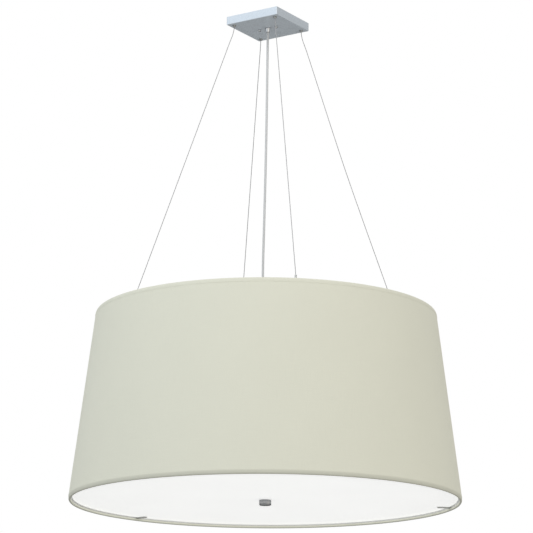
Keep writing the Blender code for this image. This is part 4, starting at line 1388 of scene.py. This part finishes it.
def make_stem(sizes):
    """The hollow threaded stem with its cap and nuts, and the coupling and lower stem under the cluster."""
    _, _, bottom, top = round_place("stem")
    radius, pitch, depth = sizes.stem_radius, sizes.stem_pitch, sizes.stem_thread_depth
    lower_end = bottom + sizes.stem_thread_length * 2
    upper_start = top - sizes.stem_thread_length
    mesh = turned([
        (sizes.stem_bore, bottom), (radius - slight, bottom),
        Thread(radius, bottom + slight, lower_end, pitch, depth),
        (radius - crisp, lower_end + hair), (radius - crisp, upper_start - hair),
        Thread(radius, upper_start, top - slight, pitch, depth),
        (radius - slight, top), (sizes.stem_bore, top),
    ], small_segments)
    lamp_low, lamp_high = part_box("lamp_1")
    rise = (lamp_low.z + lamp_high.z) / 2
    half_width, half_height = sizes.stem_window_width / 2, sizes.stem_window_height / 2
    window_reach_share = 1.5
    window = block(
        (0, -half_width, rise - half_height), (radius * window_reach_share, half_width, rise + half_height)
    )
    add_finished("stem", combined(mesh, window), "frame_white", flat_faces=False)

    line_start_share, line_end_share, line_slope_share, shoulder_share = 0.18, 0.32, 0.04, 0.55
    _, cap_radius, bottom, top = round_place("stem_cap")
    tall = top - bottom
    bore = radius + hair
    exit_bore = settings().suspension.cord_radius + hair
    floor = bottom + sizes.cap_overlap + crisp
    line = (bottom + tall * line_start_share, bottom + tall * line_end_share)
    cap = turned([
        (bore, bottom, crisp), (cap_radius, bottom, slight),
        *groove(cap_radius, *line, slight, tall * line_slope_share, fine),
        (cap_radius, bottom + tall * shoulder_share, full), (sizes.cap_tip, top, easy),
        (exit_bore, top, slight), (exit_bore, floor), (bore, floor),
    ])
    add_finished("stem_cap", cap, "chrome")
    for place in ("top", "middle", "bottom"):
        add_nut(f"stem_nut_{place}", bore)

    _, radius, bottom, top = round_place("stem_coupling")
    middle = (bottom + top) / 2
    half_line = sizes.coupling_line / 2
    lower_bore = sizes.lower_stem + hair
    coupling = turned([
        (lower_bore, bottom, fine), (radius, bottom, easy),
        *groove(radius, middle - half_line, middle + half_line, mild, slight, fine),
        (radius, top, easy), (bore, top, fine), (bore, middle), (lower_bore, middle),
    ])
    add_finished("stem_coupling", coupling, "chrome")

    _, _, bottom, top = round_place("lower_stem")
    radius = sizes.lower_stem
    low_end, high_start = bottom + sizes.lower_thread_length, top - sizes.lower_thread_length
    mesh = turned([
        (0, bottom), (radius - mild, bottom), Thread(radius, bottom + mild, low_end, pitch, depth),
        (radius - hair, low_end + hair), (radius - hair, high_start - hair),
        Thread(radius, high_start, top - mild, pitch, depth), (radius - mild, top), (0, top),
    ], small_segments)
    add_finished("lower_stem", mesh, "zinc_plate", flat_faces=False)


def lamp_turns():
    """For each lamp, its number and the turn that lays an upright axis down along the lamp."""
    for number in all_four:
        yield number, rotation(tau * (number - 1) / 4) @ rotation(pi / 2, "Y")


def make_cluster(sizes):
    """The pressed cup that the lampholders screw into, and the cover that closes it from below."""
    nipple = settings().lamps.holder_nipple + hair
    _, radius, bottom, top = round_place("cluster_body")
    bore = sizes.stem_radius + hair
    inner = radius - sizes.cluster_wall
    under = top - sizes.cluster_top
    cup = turned([
        (bore, under), (inner, under, ample), (inner, bottom, fine), (radius, bottom, mild),
        (radius, top, full), (bore, top, crisp),
    ])
    for _, turning in lamp_turns():
        drill = prism(small_segments, nipple, radius / 2, radius)
        cup = combined(cup, moved(drill, (0, 0, (top + bottom) / 2), turning))
    add_finished("cluster_body", cup, "frame_white")

    _, radius, bottom, top = round_place("cluster_cover")
    plate_top = bottom + sizes.cover_thickness
    lip = inner - hair
    cover = turned([
        (bore, bottom, crisp), (radius, bottom, wide), (radius, plate_top, crisp), (lip, plate_top),
        (lip, top, fine), (lip - sizes.cover_lip, top, fine), (lip - sizes.cover_lip, plate_top),
        (bore, plate_top),
    ])
    add_finished("cluster_cover", cover, "frame_white")


def make_lamps(sizes):
    """The four moulded lampholders, and in each a lamp: a threaded metal base and an opal globe."""
    low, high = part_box("lampholder_1")
    lamp_low, lamp_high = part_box("lamp_1")
    nipple_end, mouth, outer = low.x, high.x, (high.z - low.z) / 2
    nipple, bore, base_radius = sizes.holder_nipple, sizes.holder_bore, sizes.base_radius
    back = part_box("cluster_body")[1].x + fine
    shoulder = back + sizes.holder_shoulder
    floor = back + sizes.holder_back
    holder_thread = Thread(
        outer, shoulder + sizes.holder_collar, mouth - ample, sizes.holder_thread_pitch,
        sizes.holder_thread_depth,
    )
    base_end = lamp_low.x + sizes.base_length
    base_low = lamp_low.x + sizes.base_tip_length + broad
    base_thread = Thread(
        base_radius, base_low, base_end - full, sizes.base_thread_pitch, sizes.base_thread_depth
    )
    globe_length = lamp_high.x - base_end
    globe = [
        (sizes.lamp_radius * across, base_end + globe_length * up) for across, up in globe_outline_shares
    ]
    place = (0, 0, (lamp_low.z + lamp_high.z) / 2)
    for number, turning in lamp_turns():
        holder = turned([
            (0, nipple_end), (nipple, nipple_end, fine), (nipple, back), (bore, back, wide),
            (outer, shoulder, deep), holder_thread, (outer, mouth, easy), (bore, mouth, soft),
            (bore, floor, broad), (0, floor),
        ])
        add_finished(f"lampholder_{number}", moved(holder, place, turning), "holder_white")
        base = turned([
            (0, lamp_low.x, 0), (sizes.base_tip, lamp_low.x, easy),
            (base_radius - broad, base_low - broad, broad), base_thread, (base_radius, base_end),
            (base_radius - soft, base_end), (0, base_end),
        ])
        glass = turned(globe_outline(globe))
        for name, mesh, slot in (("base", base, "zinc_plate"), ("globe", glass, "lamp_opal")):
            add_piece(
                f"lamp_{number}_{name}", moved(mesh, place, turning), slot, f"lamp_bulb_{number}",
                (f"lamp_{number}",), flat_faces=False,
            )


def globe_outline(corners):
    """A globe's outline, smoothed and closed at its neck."""
    neck = corners[0][1] + hair
    curve = smooth_curve([Vector((radius, 0, up)) for radius, up in corners[1:]], globe_steps)
    rounded = [(max(0, spot.x), spot.z) for spot in curve[:-1]]
    return [(0, neck), (corners[0][0] - hair, neck), *rounded, (0, corners[-1][1])]


def make_diffuser(sizes):
    """The opal disc, which can be lifted, and the three tongues that carry its edge."""
    _, radius, bottom, top = round_place("diffuser")
    disc = turned([
        (sizes.hole, bottom, sizes.edge / 2), (radius, bottom, sizes.edge), (radius, top, sizes.edge),
        (sizes.hole, top, sizes.edge / 2),
    ], wide_segments)
    add_finished("diffuser", disc, "opal_acrylic", "diffuser_disc")
    half = sizes.tongue_width / 2
    outline = rounded_rectangle((sizes.tongue_start, -half), (sizes.tongue_end, half), sizes.tongue_corner)
    for number in (1, 2, 3):
        node = f"diffuser_tongue_{number}"
        low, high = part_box(node)
        azimuth = atan2(low.y + high.y, low.x + high.x)
        tongue = moved(thick_plate(outline, [], low.z, high.z), (0, 0, 0), rotation(azimuth))
        add_finished(node, tongue, "zinc_plate", rim=sizes.tongue_edge)


def make_finial(sizes):
    """The chrome finial, with a fine line round it and a softly domed underside."""
    flat_share, flat_rise_share, flat_ease_share = 0.45, 0.25, 0.2
    edge_start_share, edge_ease_share = 0.4, 0.6
    _, radius, bottom, top = round_place("finial")
    bore_end = top - sizes.finial_bore_depth
    line = top - sizes.finial_collar
    cut = sizes.finial_groove
    ease = sizes.finial_edge * edge_ease_share
    finial = turned([
        (0, bottom),
        (radius * flat_share, bottom + sizes.finial_dome * flat_rise_share, radius * flat_ease_share),
        (radius - sizes.finial_edge * edge_start_share, bottom + sizes.finial_dome, ease),
        (radius, bottom + sizes.finial_edge, ease),
        *groove(radius, line - cut, line + cut, cut, cut / 2, cut / 2),
        (radius, top, mellow), (sizes.finial_bore, top, fine), (sizes.finial_bore, bore_end), (0, bore_end),
    ])
    # Painted reflection: darker plating over the whole finial, for the dark surroundings it mirrors
    layer = finial.verts.layers.float.new("smoke")
    for corner in finial.verts:
        corner[layer] = sizes.finial_painted_dark_reflection
    add_finished("finial", finial, "chrome", "finial_knob")


def add_stage(name, mesh, colour, emission=0.0):
    """Makes a bmesh a plain piece of the studio."""
    finish = Finish(name, colour, stage_roughness, Emission_Color=white, Emission_Strength=emission)
    data = bpy.data.meshes.new(name)
    mesh.to_mesh(data)
    mesh.free()
    data.materials.append(finish.material)
    thing = bpy.data.objects.new(name, data)
    bpy.context.scene.collection.objects.link(thing)
    return thing


def make_floor(studio):
    mesh = bmesh.new()
    bmesh.ops.create_circle(
        mesh, cap_ends=True, radius=studio.floor_radius, segments=floor_segments,
        matrix=Matrix.Translation((0, 0, -studio.floor_drop)),
    )
    add_stage("floor", mesh, studio.floor_colour)


def make_dark_field(studio):
    """A grey field behind the chandelier that only metal and gloss mirror, as studios set up for plating."""
    mesh = bmesh.new()
    start = studio.camera_azimuth + pi / 2 - field_sweep / 2
    distance = studio.floor_radius / 2
    spots = [
        mesh.verts.new((distance * cos(start), distance * sin(start), height))
        for height in (-studio.floor_drop, studio.floor_drop)
    ]
    bmesh.ops.spin(
        mesh, geom=spots + linked(mesh, spots, False), cent=(0, 0, 0), axis=(0, 0, 1), angle=field_sweep,
        steps=field_segments, use_merge=False,
    )
    field = add_stage("dark_field", mesh, (0, 0, 0), studio.field_level)
    field.visible_camera = False
    field.visible_diffuse = False
    field.visible_shadow = False
    field.visible_transmission = False


def make_world(studio):
    """White behind the object and in its reflections, and an even light from all round."""
    world = bpy.data.worlds.new("studio")
    world.use_nodes = True
    nodes = Nodes(world.node_tree)
    nodes.tree.nodes.clear()
    seen, glossy, through = (
        nodes.add("LightPath", {}, {}, f"Is {kind} Ray") for kind in ("Camera", "Glossy", "Transmission")
    )
    for other in (glossy, through):
        seen = seen.maths("MAXIMUM", seen, other)
    level = nodes.add("MapRange", {}, {"Value": seen, "To Min": studio.world_level, "To Max": 1.0})
    light = nodes.add("Background", {}, {"Color": white, "Strength": level})
    nodes.add("OutputWorld", {}, {"Surface": light})
    bpy.context.scene.world = world


def add_area_light(name, studio, azimuth, distance, height, colour):
    """A large soft light, so far round from the camera, that looks at the middle of the chandelier."""
    azimuth += studio.camera_azimuth
    data = bpy.data.lights.new(name, "AREA")
    data.shape = "SQUARE"
    data.size = studio.light_size
    data.energy = getattr(studio, f"{name}_level")
    data.color = colour
    lamp = bpy.data.objects.new(name, data)
    lamp.location = (distance * sin(azimuth), -distance * cos(azimuth), height)
    aim = Vector((0, 0, (cad_box[0].z + cad_box[1].z) / 2)) - lamp.location
    lamp.rotation_euler = aim.to_track_quat("-Z", "Y").to_euler()
    lamp.visible_camera = False
    bpy.context.scene.collection.objects.link(lamp)


def make_camera(studio):
    data = bpy.data.cameras.new("camera")
    data.lens = studio.camera_lens
    data.clip_start, data.clip_end = clip_distances
    camera = bpy.data.objects.new("camera", data)
    azimuth, distance = studio.camera_azimuth, studio.camera_distance
    camera.location = (distance * sin(azimuth), -distance * cos(azimuth), -studio.camera_drop)
    looking = rotation(azimuth) @ rotation(pi / 2 + studio.camera_pitch, "X")
    camera.rotation_euler = (looking @ rotation(studio.camera_roll)).to_euler()
    bpy.context.scene.collection.objects.link(camera)
    bpy.context.scene.camera = camera


def make_studio(studio):
    """The camera, the floor, the field, the world and the three lights."""
    make_camera(studio)
    make_floor(studio)
    make_dark_field(studio)
    make_world(studio)
    for name, placing in lights.items():
        add_area_light(name, studio, *placing)
    bpy.context.scene.view_settings.view_transform = "Standard"


def operator(name, summary, make, group):
    """An operator that makes some of the pieces with one group of the settings."""

    def execute(self, context):
        make(getattr(settings(), group))
        return {"FINISHED"}

    members = {
        "__doc__": summary,
        "bl_idname": f"chandelier.{name}",
        "bl_label": name.replace("_", " ").capitalize(),
        "execute": execute,
    }
    return type(f"CHANDELIER_OT_{name}", (Operator,), members)


operators = (
    operator("studio", "Make the floor, the lights and the camera", make_studio, "studio"),
    operator("wires", "Make the four suspension wires and their ferrules", make_wires, "suspension"),
    operator("power_cord", "Make the power cord", make_power_cord, "suspension"),
    operator("canopy", "Make the square canopy", make_canopy, "ceiling"),
    operator("ceiling_bar", "Make the ceiling bar behind the canopy", make_ceiling_bar, "ceiling"),
    operator("screws", "Make the canopy screws and the ground screw", make_screws, "ceiling"),
    operator("cord_grip", "Make the cord grip and its lock nut", make_cord_grip, "ceiling"),
    operator("wire_grippers", "Make the wire grippers, their plungers and nuts", make_grippers, "ceiling"),
    operator("lining", "Make the lining and the rings inside the shade", make_lining, "shade"),
    operator("fabric", "Make the shade's fabric", make_fabric, "shade"),
    operator("spider", "Make the spider arms, the hub plate and the wire anchors", make_spider, "metalwork"),
    operator(
        "stem", "Make the stem, its cap, its nuts, the coupling and the lower stem", make_stem, "metalwork"
    ),
    operator("cluster", "Make the lamp cluster and its cover", make_cluster, "metalwork"),
    operator("lamps", "Make the lampholders and the lamps", make_lamps, "lamps"),
    operator("diffuser", "Make the diffuser and its tongues", make_diffuser, "diffuser"),
    operator("finial", "Make the finial", make_finial, "diffuser"),
)


class CHANDELIER_PT_panel(Panel):
    """Lists the chandelier's operators and settings"""

    bl_idname = "CHANDELIER_PT_panel"
    bl_label = "Drum Chandelier"
    bl_space_type = "VIEW_3D"
    bl_region_type = "UI"
    bl_category = "Drum Chandelier"

    def draw(self, context):
        for each in operators:
            self.layout.operator(each.bl_idname)
        for title in ChandelierSettings.__annotations__:
            group = getattr(settings(), title)
            box = self.layout.box()
            box.label(text=title.capitalize())
            for name in group.__annotations__:
                box.prop(group, name)


property_groups = (
    CeilingSizes, SuspensionSizes, ShadeSizes, FrameSizes, LampSizes, DiffuserSizes, Colours, StudioSettings,
    ChandelierSettings,
)


def register():
    for each in (*property_groups, *operators, CHANDELIER_PT_panel):
        bpy.utils.register_class(each)
    bpy.types.Scene.drum_chandelier = PointerProperty(type=ChandelierSettings)


def unregister():
    del bpy.types.Scene.drum_chandelier
    for each in reversed((*property_groups, *operators, CHANDELIER_PT_panel)):
        bpy.utils.unregister_class(each)


def main():
    register()
    for each in operators:
        group, name = each.bl_idname.split(".")
        getattr(getattr(bpy.ops, group), name)()


if __name__ == "__main__":
    main()
